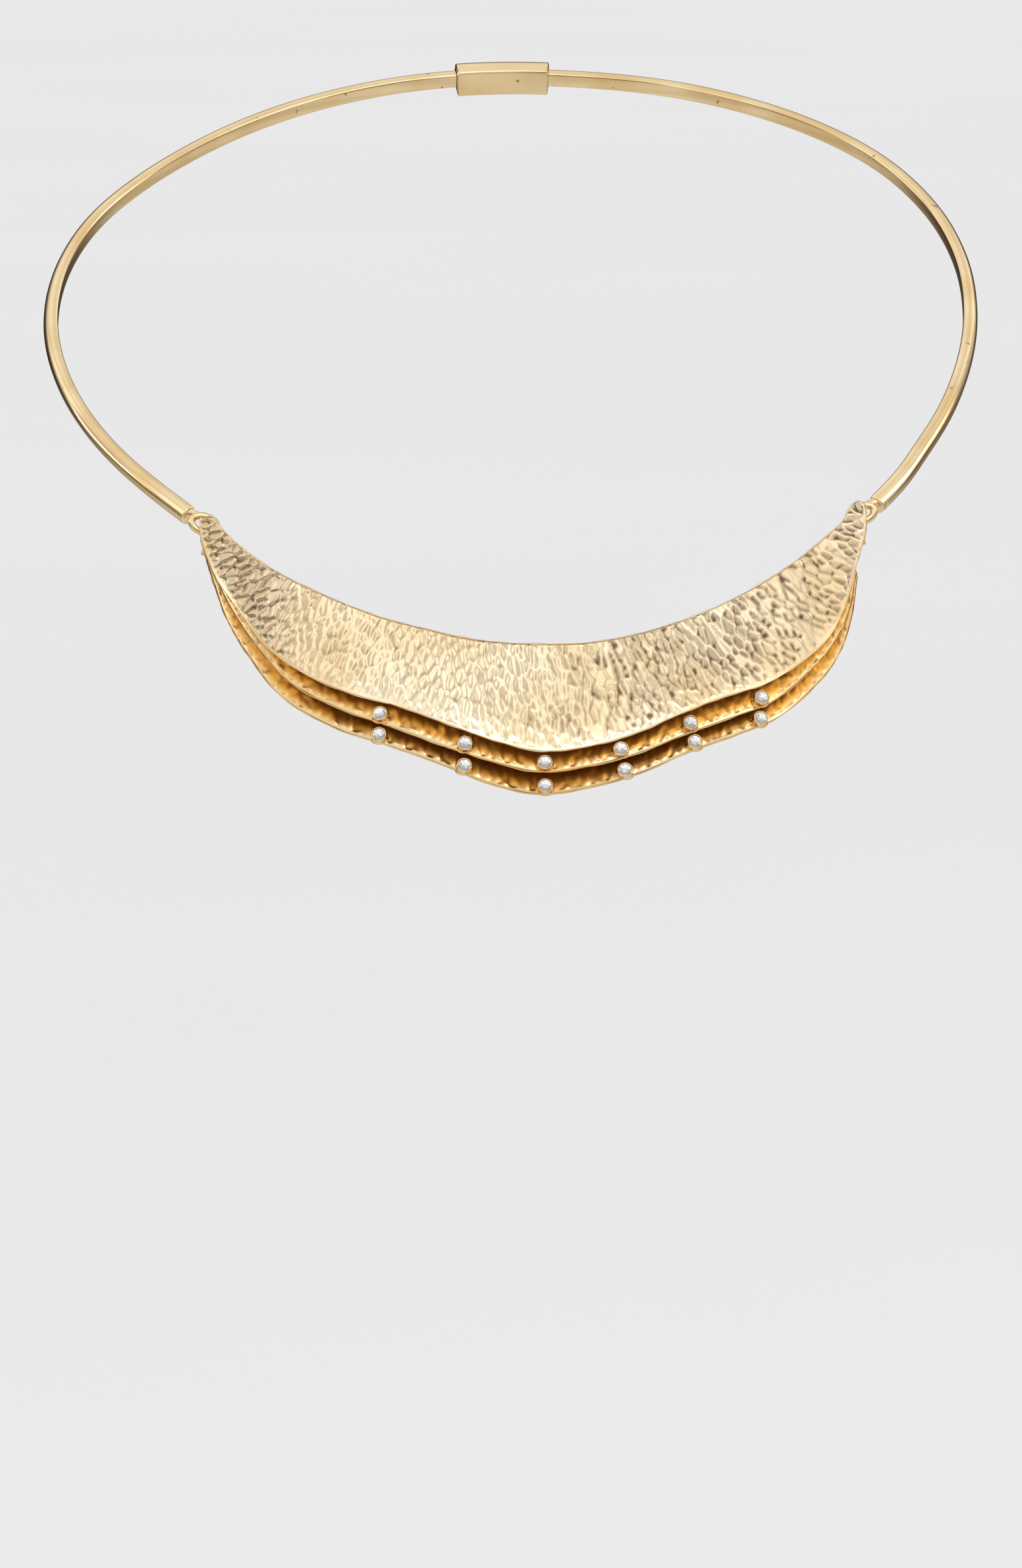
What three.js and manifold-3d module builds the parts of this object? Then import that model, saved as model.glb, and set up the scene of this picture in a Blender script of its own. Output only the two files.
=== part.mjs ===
// Bib necklace: a rigid two-arm collar that carries three layered hammered crescents set with
// twelve clear crystals. Millimetres, +X wearer's left, -Y front, +Z up, origin at the nape.
import * as THREE from 'three';
import Module from 'manifold-3d';
import { mergeVertices } from 'three/addons/utils/BufferGeometryUtils.js';

// ---------------------------------------------------------------- driving dimensions
const DEG = Math.PI / 180;

// Collar: a flat oval ring of wire that rises towards the nape.
const RING_TILT = 28.5 * DEG;      // ring plane above the horizontal
const WIRE_THICK = 2.2;            // across the D, from flat face to crown
const WIRE_HIGH = 2.3;             // height of the D's flat face
const FRONT_SWELL = 1.1;           // wire grows this much at the eyes
const SWELL_FROM = 0.6;            // share of an arm's rows where it starts to grow
const SWELL_OVER = 0.3;
const ARM_STEPS = 42;
// Wire centre by angle from the wearer's side (+ towards the nape) and distance from the centre.
const LEFT_ARM = rows(['deg', 'radius'], [
  [88.3, 69.5], [80, 69.5], [64, 69.2], [47, 69.0], [36, 69.4], [24, 70.3], [12, 70.6],
  [0, 70.6], [-14, 70.4], [-26, 70.5], [-36, 70.9], [-42, 71.5], [-45.5, 72.1],
]);
const RIGHT_ARM = rows(['deg', 'radius'], [
  [88.3, 69.5], [80, 69.5], [64, 70.6], [47, 71.5], [36, 71.6], [24, 70.7], [12, 69.4],
  [0, 68.2], [-12, 67.7], [-22, 68.0], [-32, 69.0], [-40, 70.8], [-45.5, 72.1],
]);

// Eyes: oval rings of round wire that the bib hangs from.
const EYE_X = 48.1;
const EYE_Y = -46.94;              // from the ring's centre
const EYE_Z = -25.65;
const EYE_LONG = 1.9;              // half axes, to the wire's centre
const EYE_SHORT = 1.2;
const EYE_WIRE = 0.52;             // radius
const EYE_DROOP = 20 * DEG;        // long axis tips down towards the middle

// Neck: the taper from an arm's end into its eye's upper outer side.
const NECK_AT = 50 * DEG;          // round the eye, from its outer end
const NECK_INSET = 0.25;           // smaller than the wire that it grows from
const NECK = rows(['along', 'size'], [[0, 1], [0.45, 0.8], [0.8, 0.55], [1, 0.42]]);

// Clasp sleeve at the nape.
const CLASP_HALF = 6 * DEG;        // half its length, round the ring
const CLASP_WEB = 1.6 * DEG;       // half the solid part between the sockets
const CLASP_WALL = 0.6;
const SOCKET_GAP = 0.45;           // round an arm's end

// Bib: the surface that the front plate lies on leans out towards its lower edge and curves
// back to the eyes.
const BIB_LEAN = 22 * DEG;
const BIB_FRONT = 68;              // front of the ring's centre, at BIB_LEVEL
const BIB_LEVEL = -41;
const BIB_CURVE = 82;              // radius in plan
const LUG_FROM = 40;               // past this the tips turn to face the front
const LUG_TURN = 0.036;
const PLATE = 0.55;                // thickness
const LIP = 0.5;                   // how far the front plate's lower edge turns out

// Front view of the bib, a row for each cross line of the crescent, wearer's right to left:
// where it meets the upper edge and the front plate's lower edge, then how far the middle
// and back plates show past that edge.
const CRESCENT = rows(['topX', 'topZ', 'lowX', 'lowZ', 'middle', 'back'], [
  [-48.5, -24.2, -48.8, -25.4, 0.0, 0.0],
  [-46.8, -24.4, -48.8, -27.2, 0.1, 0.2],
  [-45.1, -26.4, -48.3, -28.9, 0.1, 0.3],
  [-43.1, -28.2, -47.5, -31.1, 0.1, 0.4],
  [-40.4, -30.2, -46.1, -33.8, 0.3, 0.9],
  [-36.6, -32.3, -43.4, -37.6, 0.9, 2.3],
  [-31.9, -34.4, -39.8, -42.2, 1.2, 3.0],
  [-27.2, -36.2, -34.7, -45.7, 2.2, 4.7],
  [-22.5, -37.8, -27.7, -48.4, 2.7, 5.5],
  [-16.9, -39.1, -20.2, -50.3, 3.1, 5.8],
  [-11.2, -40.4, -13.6, -52.5, 3.2, 5.8],
  [-5.5, -41.1, -7.0, -54.8, 3.0, 6.2],
  [0.1, -41.4, -0.3, -56.3, 3.0, 6.1],
  [5.8, -41.4, 6.7, -55.8, 2.8, 5.8],
  [11.6, -40.8, 13.4, -54.2, 2.9, 5.7],
  [17.4, -39.6, 19.9, -51.9, 3.0, 5.6],
  [23.2, -38.0, 26.4, -49.8, 3.2, 5.8],
  [28.1, -36.2, 32.7, -48.4, 2.8, 5.3],
  [33.1, -34.0, 38.4, -45.7, 2.0, 4.3],
  [38.1, -31.3, 42.6, -42.6, 1.4, 3.4],
  [42.2, -28.6, 45.3, -38.0, 1.4, 2.6],
  [45.0, -26.4, 47.2, -32.4, 0.4, 0.9],
  [45.9, -25.0, 48.5, -28.2, 0.1, 0.2],
  [46.6, -24.0, 48.8, -25.4, 0.0, 0.0],
  [47.4, -23.6, 48.6, -24.1, 0.0, 0.0],
]);
const BETWEEN_ROWS = 2;            // sections from one row to the next
const ACROSS = 6;                  // spans from upper to lower edge
const CROWDING = 1.4;              // they crowd towards the lower edge by this power

// The plates behind: how far back they sit at the tips and in the middle, how much of the
// crescent's ends they leave out, and how their lower edges scoop forward.
const PLATES = {
  front: { tip: 0, deep: 0, lip: LIP, scoop: 3.5, show: null, first: 0, last: 24, inset: 0, foot: 0 },
  middle: {
    tip: 1.02, deep: 2.1, lip: 2.1, scoop: 5.5, show: 'middle', first: 2.5, last: 20.8, inset: 0.8, foot: 1.05,
  },
  back: {
    tip: 2.02, deep: 3.7, lip: 3.5, scoop: 6, show: 'back', first: 2.5, last: 20.8, inset: 0.8, foot: 0.83,
  },
};
const DEEP_FROM = 47;              // the plates part from here towards the middle
const DEEP_OVER = 19;
const INSET_OVER = 8;              // span over which a plate's upper edge draws in
const SCOOP_POWER = 1.6;

// Hook: a strip on the front plate's back that goes over the eye's lower wire and down behind.
const HOOK_HALF = 0.6;
const HOOK_ASIDE = 0.45;           // outwards from the eye's lowest point
const HOOK_INNER = 1.0;
const HOOK_STRIP = 0.45;
const HOOK_SET_BACK = 0.1;
const HOOK_LEG = 3.0;
const HOOK_ROOT = 0.6;
const HOOK_STEP = 20;               // degrees

// Settings and stones.
const SETTING_X = {
  middle: [-23.2, -11.2, 0.2, 11.2, 21.4, 31.9],
  back: [-23.4, -11.4, 0.2, 11.8, 22.0, 31.7],
};
const SETTING_RISE = 27 * DEG;      // settings point this far above the horizontal
const SETTING = { outer: 1.1, bore: 0.99, high: 0.95, floor: 0.25, sunk: 0.4, sides: 14 };
const STONE = { girdle: 0.9, table: 0.5, culet: 0.2, low: 0.34, waist: 0.82, top: 1.08, sides: 10 };

// ---------------------------------------------------------------- finishes
const GOLD = new THREE.MeshStandardMaterial({ color: '#d8b06a', roughness: 0.22, metalness: 1 });
const HAMMERED = new THREE.MeshStandardMaterial({ color: '#dcb878', roughness: 0.35, metalness: 1 });
const CRYSTAL = new THREE.MeshStandardMaterial({ color: '#f2f4f6', roughness: 0.05, metalness: 0 });

// ---------------------------------------------------------------- helpers
const wasm = await Module();
wasm.setup();

function rows(names, table) {
  return table.map((row) => Object.fromEntries(names.map((name, i) => [name, row[i]])));
}

// Smooth value of one column at a fractional row (Catmull-Rom).
function column(table, name, at) {
  const last = table.length - 1;
  const i = Math.min(Math.floor(at), last - 1);
  const t = at - i;
  const pick = (k) => table[Math.min(Math.max(k, 0), last)][name];
  const [a, b, c, d] = [pick(i - 1), pick(i), pick(i + 1), pick(i + 2)];
  return b + 0.5 * t * (c - a + t * (2 * a - 5 * b + 4 * c - d + t * (3 * (b - c) + d - a)));
}

function vec(x, y, z) {
  return new THREE.Vector3(x, y, z);
}

function smooth(t) {
  const u = Math.min(Math.max(t, 0), 1);
  return u * u * (3 - 2 * u);
}

// Closed solid through equal rings of points; `closed` joins the last ring to the first. Open
// ends are shut by a strip between the ring's two halves, so a ring has an even count.
function loft(rings, closed = false) {
  const n = rings[0].length;
  const faces = [];
  const quad = (a, b, c, d) => faces.push([a, b, c], [a, c, d]);
  const spans = closed ? rings.length : rings.length - 1;
  for (let i = 0; i < spans; i++) {
    const a = i * n;
    const b = ((i + 1) % rings.length) * n;
    for (let j = 0; j < n; j++) {
      const k = (j + 1) % n;
      quad(a + j, b + j, b + k, a + k);
    }
  }
  if (!closed) {
    const end = (rings.length - 1) * n;
    for (let j = 0; j < n / 2 - 1; j++) {
      quad(j, j + 1, n - 2 - j, n - 1 - j);
      quad(end + n - 1 - j, end + n - 2 - j, end + j + 1, end + j);
    }
  }
  const solid = new THREE.BufferGeometry().setFromPoints(rings.flat());
  solid.setIndex(faces.flat());
  return volume(solid) < 0 ? turnedOut(solid) : solid;
}

function volume(geometry) {
  const place = geometry.attributes.position;
  const corner = (i) => vec().fromBufferAttribute(place, geometry.index.getX(i));
  let sum = 0;
  for (let i = 0; i < geometry.index.count; i += 3) {
    sum += corner(i).dot(corner(i + 1).cross(corner(i + 2)));
  }
  return sum / 6;
}

function turnedOut(geometry) {
  const index = Array.from(geometry.index.array);
  for (let i = 0; i < index.length; i += 3) {
    [index[i], index[i + 1]] = [index[i + 1], index[i]];
  }
  return geometry.setIndex(index);
}

function toManifold(geometry) {
  const bare = geometry.clone();
  bare.deleteAttribute('normal');
  bare.deleteAttribute('uv');
  const welded = mergeVertices(bare, 1e-5);
  return new wasm.Manifold(new wasm.Mesh({
    numProp: 3,
    vertProperties: new Float32Array(welded.attributes.position.array),
    triVerts: new Uint32Array(welded.index.array),
  }));
}

function fromManifold(solid) {
  const { vertProperties, triVerts } = solid.getMesh();
  const geometry = new THREE.BufferGeometry();
  geometry.setAttribute('position', new THREE.BufferAttribute(vertProperties, 3));
  geometry.setIndex(new THREE.BufferAttribute(triVerts, 1));
  return geometry;
}

function joined(geometries) {
  return fromManifold(wasm.Manifold.union(geometries.map(toManifold)));
}

function cut(geometry, tools) {
  return fromManifold(tools.reduce((left, tool) => left.subtract(toManifold(tool)), toManifold(geometry)));
}

function piece(name, geometry, material) {
  const shape = geometry.translate(-NAPE.x, -NAPE.y, -NAPE.z);
  shape.computeVertexNormals();
  const mesh = new THREE.Mesh(shape, material);
  mesh.name = name;
  return mesh;
}

// ---------------------------------------------------------------- collar
// A point of the ring plane: `deg` round from the side (+ towards the nape), `out` from the
// wire's centre line away from the ring's centre, `up` square to the plane.
function ringPoint(side, angle, radius, up = 0) {
  const along = Math.sin(angle) * radius;
  return vec(
    side * Math.cos(angle) * radius,
    along * Math.cos(RING_TILT) - up * Math.sin(RING_TILT),
    along * Math.sin(RING_TILT) + up * Math.cos(RING_TILT),
  );
}

// D-shaped section as [out, up]: flat towards the neck, domed outside, grown by `more`.
function wireSection(more = 0) {
  const flat = -WIRE_THICK / 2 - more;
  const high = WIRE_HIGH / 2 + more;
  const dome = WIRE_THICK / 2 + more;
  const turns = [75, 45, 15, -15, -45, -75].map((d) => d * DEG);
  return [
    [flat, high * 0.8], [flat + 0.25, high], [dome * 0.1, high],
    ...turns.map((t) => [dome * 0.1 + dome * 0.9 * Math.cos(t), high * Math.sin(t)]),
    [dome * 0.1, -high], [flat + 0.25, -high], [flat, -high * 0.8],
  ];
}

function wireRing(side, angle, radius, more, swell = 1) {
  return wireSection(more).map(([out, up]) => ringPoint(side, angle, radius + out * swell, up * swell));
}

function wireRun(side, table) {
  const sections = [];
  for (let i = 0; i <= ARM_STEPS; i++) {
    const at = (i / ARM_STEPS) * (table.length - 1);
    const grown = smooth((at / table.length - SWELL_FROM) / SWELL_OVER);
    const swell = 1 + (FRONT_SWELL - 1) * grown;
    sections.push(wireRing(side, column(table, 'deg', at) * DEG, column(table, 'radius', at), 0, swell));
  }
  return loft(sections);
}

// The eye's own axes: its plane leans with the bib.
function eyePoint(side, across, up, forward) {
  return vec(
    side * (EYE_X + across),
    EYE_Y + up * Math.sin(BIB_LEAN) - forward * Math.cos(BIB_LEAN),
    EYE_Z + up * Math.cos(BIB_LEAN) + forward * Math.sin(BIB_LEAN),
  );
}

// Centre of the eye's wire at `turn`, from its outer end.
function eyeWire(turn) {
  const long = EYE_LONG * Math.cos(turn);
  const short = EYE_SHORT * Math.sin(turn);
  return {
    across: long * Math.cos(EYE_DROOP) - short * Math.sin(EYE_DROOP),
    up: long * Math.sin(EYE_DROOP) + short * Math.cos(EYE_DROOP),
  };
}

function eye(side) {
  const around = 28;
  const sides = 10;
  const rings = [];
  for (let i = 0; i < around; i++) {
    const turn = (i / around) * 2 * Math.PI;
    const centre = eyeWire(turn);
    const ahead = eyeWire(turn + 0.01);
    const way = Math.atan2(ahead.up - centre.up, ahead.across - centre.across);
    const ring = [];
    for (let j = 0; j < sides; j++) {
      const t = (j / sides) * 2 * Math.PI;
      const out = EYE_WIRE * Math.cos(t);
      ring.push(eyePoint(
        side,
        centre.across + out * Math.sin(way),
        centre.up - out * Math.cos(way),
        EYE_WIRE * Math.sin(t),
      ));
    }
    rings.push(ring);
  }
  return loft(rings, true);
}

// A tapered neck from the wire's end into the eye's upper outer side.
function neck(side, table) {
  const end = table[table.length - 1];
  const from = wireRing(side, (end.deg + 1) * DEG, end.radius, -NECK_INSET, FRONT_SWELL);
  const target = eyeWire(NECK_AT);
  const to = eyePoint(side, target.across, target.up, 0);
  const middle = from.reduce((sum, p) => sum.add(p), vec(0, 0, 0)).divideScalar(from.length);
  return loft(NECK.map(({ along, size }) => from.map((p) => (
    p.clone().sub(middle).multiplyScalar(size).add(middle.clone().lerp(to, along))))));
}

function collarArm(name, side, table) {
  return piece(name, joined([wireRun(side, table), neck(side, table), eye(side)]), GOLD);
}

// One plain sleeve with a socket for each arm's end.
function clasp() {
  const sleeve = (from, to, more) => {
    const sections = [];
    for (let i = 0; i <= 6; i++) {
      const angle = Math.PI / 2 + from + ((to - from) * i) / 6;
      sections.push(wireRing(1, angle, LEFT_ARM[0].radius, more));
    }
    return loft(sections);
  };
  const body = sleeve(-CLASP_HALF, CLASP_HALF, SOCKET_GAP + CLASP_WALL);
  const past = CLASP_HALF + DEG;
  return piece('clasp', cut(body, [
    sleeve(-past, -CLASP_WEB, SOCKET_GAP),
    sleeve(CLASP_WEB, past, SOCKET_GAP),
  ]), GOLD);
}

// ---------------------------------------------------------------- bib
// Front of the front plate, straight behind a point of the front view.
function bibFace(x, z) {
  const past = Math.max(0, Math.abs(x) - LUG_FROM);
  const back = BIB_CURVE - Math.sqrt(BIB_CURVE ** 2 - x ** 2) - LUG_TURN * past ** 2;
  return -BIB_FRONT - Math.tan(BIB_LEAN) * (BIB_LEVEL - z) + back;
}

// A point on a plate's front at a cross line `at` and a share `v` of the way to its lower edge.
function platePoint(plate, at, v) {
  const topX = column(CRESCENT, 'topX', at);
  const topZ = column(CRESCENT, 'topZ', at);
  const lowX = column(CRESCENT, 'lowX', at);
  const lowZ = column(CRESCENT, 'lowZ', at);
  const span = Math.hypot(lowX - topX, lowZ - topZ);
  const shows = plate.show ? Math.max(0.05, column(CRESCENT, plate.show, at)) : 0;
  const from = plate.inset * smooth(span / INSET_OVER);
  const reach = from + (span + shows - from) * v;
  const x = topX + ((lowX - topX) * reach) / span;
  const z = topZ + ((lowZ - topZ) * reach) / span;
  const part = smooth((DEEP_FROM - Math.abs(x)) / DEEP_OVER);
  const behind = plate.tip + (plate.deep - plate.tip) * part;
  const near = Math.max(0, 1 - (span + shows - reach) / plate.scoop);
  const out = (plate.lip - plate.tip * 0.5) * part * near ** SCOOP_POWER;
  return vec(x, bibFace(x, z) + behind - Math.max(0, out), z);
}

function plateNormal(plate, at, v) {
  const step = 0.02;
  const [a, b] = [Math.max(0, v - step), Math.min(1, v + step)];
  const across = platePoint(plate, at, b).sub(platePoint(plate, at, a));
  const last = CRESCENT.length - 1;
  const [c, d] = [Math.max(0, at - step), Math.min(last, at + step)];
  const along = platePoint(plate, d, v).sub(platePoint(plate, c, v));
  return along.cross(across).normalize();
}

function crescent(plate) {
  const steps = Math.round((plate.last - plate.first) * BETWEEN_ROWS);
  const sections = [];
  for (let i = 0; i <= steps; i++) {
    const at = plate.first + ((plate.last - plate.first) * i) / steps;
    const front = [];
    const back = [];
    for (let j = 0; j <= ACROSS; j++) {
      const v = 1 - (1 - j / ACROSS) ** CROWDING;
      const normal = plateNormal(plate, at, v);
      const point = platePoint(plate, at, v);
      front.push(point);
      back.unshift(point.clone().addScaledVector(normal, PLATE * Math.sign(normal.y)));
    }
    sections.push([...front, ...back]);
  }
  return loft(sections);
}

// The hook lies in a plane square to the eye's lower wire: forward and up from its centre.
function hook(side) {
  const lowest = Math.hypot(EYE_LONG * Math.sin(EYE_DROOP), EYE_SHORT * Math.cos(EYE_DROOP));
  const shift = ((EYE_LONG ** 2 - EYE_SHORT ** 2) * Math.sin(EYE_DROOP) * Math.cos(EYE_DROOP)) / lowest;
  const line = [[1, -HOOK_ROOT]];
  for (let d = 0; d <= 180; d += HOOK_STEP) {
    line.push([Math.cos(d * DEG), Math.sin(d * DEG)]);
  }
  line.push([-1, -HOOK_LEG]);
  const sections = line.map(([forward, up]) => {
    const bend = up > 0 ? up : 0;
    const straight = up > 0 ? 0 : up;
    return [HOOK_INNER, HOOK_INNER + HOOK_STRIP].flatMap((r, i) => {
      const halves = i ? [HOOK_HALF, -HOOK_HALF] : [-HOOK_HALF, HOOK_HALF];
      return halves.map((half) => eyePoint(
        side, half - shift + HOOK_ASIDE, r * bend + straight - lowest, r * forward - HOOK_SET_BACK));
    });
  });
  return loft(sections);
}

function frontPlate() {
  return piece('front_plate', joined([crescent(PLATES.front), hook(-1), hook(1)]), HAMMERED);
}

// Where a setting stands: its foot on the plate and the way it points.
function seat(plate, x) {
  const v = (at) => {
    const span = Math.hypot(
      column(CRESCENT, 'lowX', at) - column(CRESCENT, 'topX', at),
      column(CRESCENT, 'lowZ', at) - column(CRESCENT, 'topZ', at),
    ) + column(CRESCENT, plate.show, at);
    return 1 - plate.foot / (span - plate.inset);
  };
  let [low, high] = [plate.first, plate.last];
  for (let i = 0; i < 40; i++) {
    const at = (low + high) / 2;
    if (platePoint(plate, at, v(at)).x < x) low = at;
    else high = at;
  }
  const normal = plateNormal(plate, low, v(low));
  const axis = normal.multiplyScalar(-Math.sign(normal.y));
  axis.z = Math.tan(SETTING_RISE) * Math.hypot(axis.x, axis.y);
  return { foot: platePoint(plate, low, v(low)), axis: axis.normalize() };
}

function standing(profile, sides, { foot, axis }) {
  const points = profile.map(([r, h]) => new THREE.Vector2(r, h));
  const lathe = new THREE.LatheGeometry(points, sides);
  const turn = new THREE.Quaternion().setFromUnitVectors(vec(0, 1, 0), axis);
  return lathe.applyQuaternion(turn).translate(foot.x, foot.y, foot.z);
}

function setting(place) {
  const { outer, bore, high, floor, sunk, sides } = SETTING;
  return standing([[0, -sunk], [outer, -sunk], [outer, high], [bore, high], [bore, floor], [0, floor]],
    sides, place);
}

function setPlate(name, plate, places) {
  return piece(name, joined([crescent(plate), ...places.map(setting)]), HAMMERED);
}

function crystal(name, place) {
  const { girdle, table, culet, low, waist, top, sides } = STONE;
  const profile = [[0, low], [culet, low], [girdle, waist], [table, top], [0, top]];
  const stone = standing(profile, sides, place);
  return piece(name, fromManifold(toManifold(stone)), CRYSTAL);
}

// ---------------------------------------------------------------- assembly
const NAPE = ringPoint(1, Math.PI / 2, LEFT_ARM[0].radius - WIRE_THICK / 2 - SOCKET_GAP - CLASP_WALL);
const necklace = new THREE.Group();
necklace.add(collarArm('collar_right', -1, LEFT_ARM));
necklace.add(collarArm('collar_left', 1, RIGHT_ARM));
necklace.add(clasp());
necklace.add(frontPlate());
for (const layer of ['middle', 'back']) {
  const places = SETTING_X[layer].map((x) => seat(PLATES[layer], x));
  necklace.add(setPlate(layer + '_plate', PLATES[layer], places));
  places.forEach((place, i) => necklace.add(crystal(`${layer}_crystal_${i + 1}`, place)));
}

export default necklace;
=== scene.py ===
"""Bib necklace: a rigid gold collar carrying three hammered crescents set with crystals.

Everything is modelled in millimetres from the middle of the collar's ring and moved, in
metres, to the frame's origin at the nape. +X is the wearer's left, -Y the front, +Z up.
"""

import logging
import math
from dataclasses import dataclass, field
from enum import Enum
from typing import Any, Iterable, Sequence

import bpy
import numpy as np
from mathutils import Matrix, Vector


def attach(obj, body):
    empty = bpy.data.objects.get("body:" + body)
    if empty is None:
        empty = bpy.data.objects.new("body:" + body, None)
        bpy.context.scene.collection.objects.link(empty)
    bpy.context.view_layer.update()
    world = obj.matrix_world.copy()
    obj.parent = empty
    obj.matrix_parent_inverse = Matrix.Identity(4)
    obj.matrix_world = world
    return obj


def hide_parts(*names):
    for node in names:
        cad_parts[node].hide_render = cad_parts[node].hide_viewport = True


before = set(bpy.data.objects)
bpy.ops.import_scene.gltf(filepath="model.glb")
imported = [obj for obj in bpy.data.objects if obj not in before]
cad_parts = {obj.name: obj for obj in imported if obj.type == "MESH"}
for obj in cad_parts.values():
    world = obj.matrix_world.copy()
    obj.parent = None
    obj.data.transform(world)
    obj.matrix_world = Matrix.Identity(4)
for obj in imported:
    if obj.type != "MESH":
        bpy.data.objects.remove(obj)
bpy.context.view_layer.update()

Array = np.ndarray
LOG = logging.getLogger("necklace")
MM = 0.001


# ------------------------------------------------------------------ sizes shared by the pieces
@dataclass(frozen=True)
class Ring:
    """The flat oval that the collar follows, rising towards the nape."""

    tilt: float = math.radians(28.5)
    nape_radius: float = 69.5
    wire_thick: float = 2.2
    wire_high: float = 2.3
    socket_gap: float = 0.45
    sleeve_wall: float = 0.6

    def point(self, side: int, angle: Array | float, radius: Array | float, up: Array | float = 0.0) -> Array:
        """Place a point of the ring's plane.

        Args:
            side: 1 for the wearer's left, -1 for the right.
            angle: turn from the side towards the nape, in radians.
            radius: distance from the ring's centre.
            up: height square to the plane.

        Returns:
            The point or points, in millimetres from the ring's centre.
        """
        angle, radius, up = np.broadcast_arrays(angle, radius, up)
        along = np.sin(angle) * radius
        return np.stack([
            side * np.cos(angle) * radius,
            along * math.cos(self.tilt) - up * math.sin(self.tilt),
            along * math.sin(self.tilt) + up * math.cos(self.tilt),
        ], axis=-1)

    def nape(self) -> Array:
        """Return the frame's origin: the middle of the sleeve's inner face."""
        inner = self.nape_radius - self.wire_thick / 2 - self.socket_gap - self.sleeve_wall
        return self.point(1, math.pi / 2, inner)


RING = Ring()
NAPE = RING.nape()


class Side(Enum):
    """The wearer's two sides, as the sign of X."""

    RIGHT = -1
    LEFT = 1


class Body(Enum):
    """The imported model's two rigid bodies."""

    COLLAR = "collar"
    BIB = "bib"


class Slot(Enum):
    """The record's material slots."""

    POLISHED = "polished_gold"
    HAMMERED = "hammered_gold"
    CRYSTAL = "crystal"


# ------------------------------------------------------------------ shader writing
class Signal:
    """A shader socket that takes part in Python arithmetic through Math nodes."""

    def __init__(self, book: "NodeBook", socket: bpy.types.NodeSocket) -> None:
        """Wrap a socket of a node tree."""
        self.book = book
        self.socket = socket

    def _math(self, operation: str, *values: Any) -> "Signal":
        """Add a Math node on this signal's tree."""
        inputs = {index: value for index, value in enumerate(values)}
        return self.book.node("ShaderNodeMath", {"operation": operation}, inputs)

    def __add__(self, other: Any) -> "Signal":
        """Add."""
        return self._math("ADD", self, other)

    __radd__ = __add__

    def __mul__(self, other: Any) -> "Signal":
        """Multiply."""
        return self._math("MULTIPLY", self, other)

    def __sub__(self, other: Any) -> "Signal":
        """Subtract."""
        return self._math("SUBTRACT", self, other)

    def clamped(self) -> "Signal":
        """Keep the signal between 0 and 1."""
        return self.book.node("ShaderNodeClamp", {}, {"Value": self})


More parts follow.
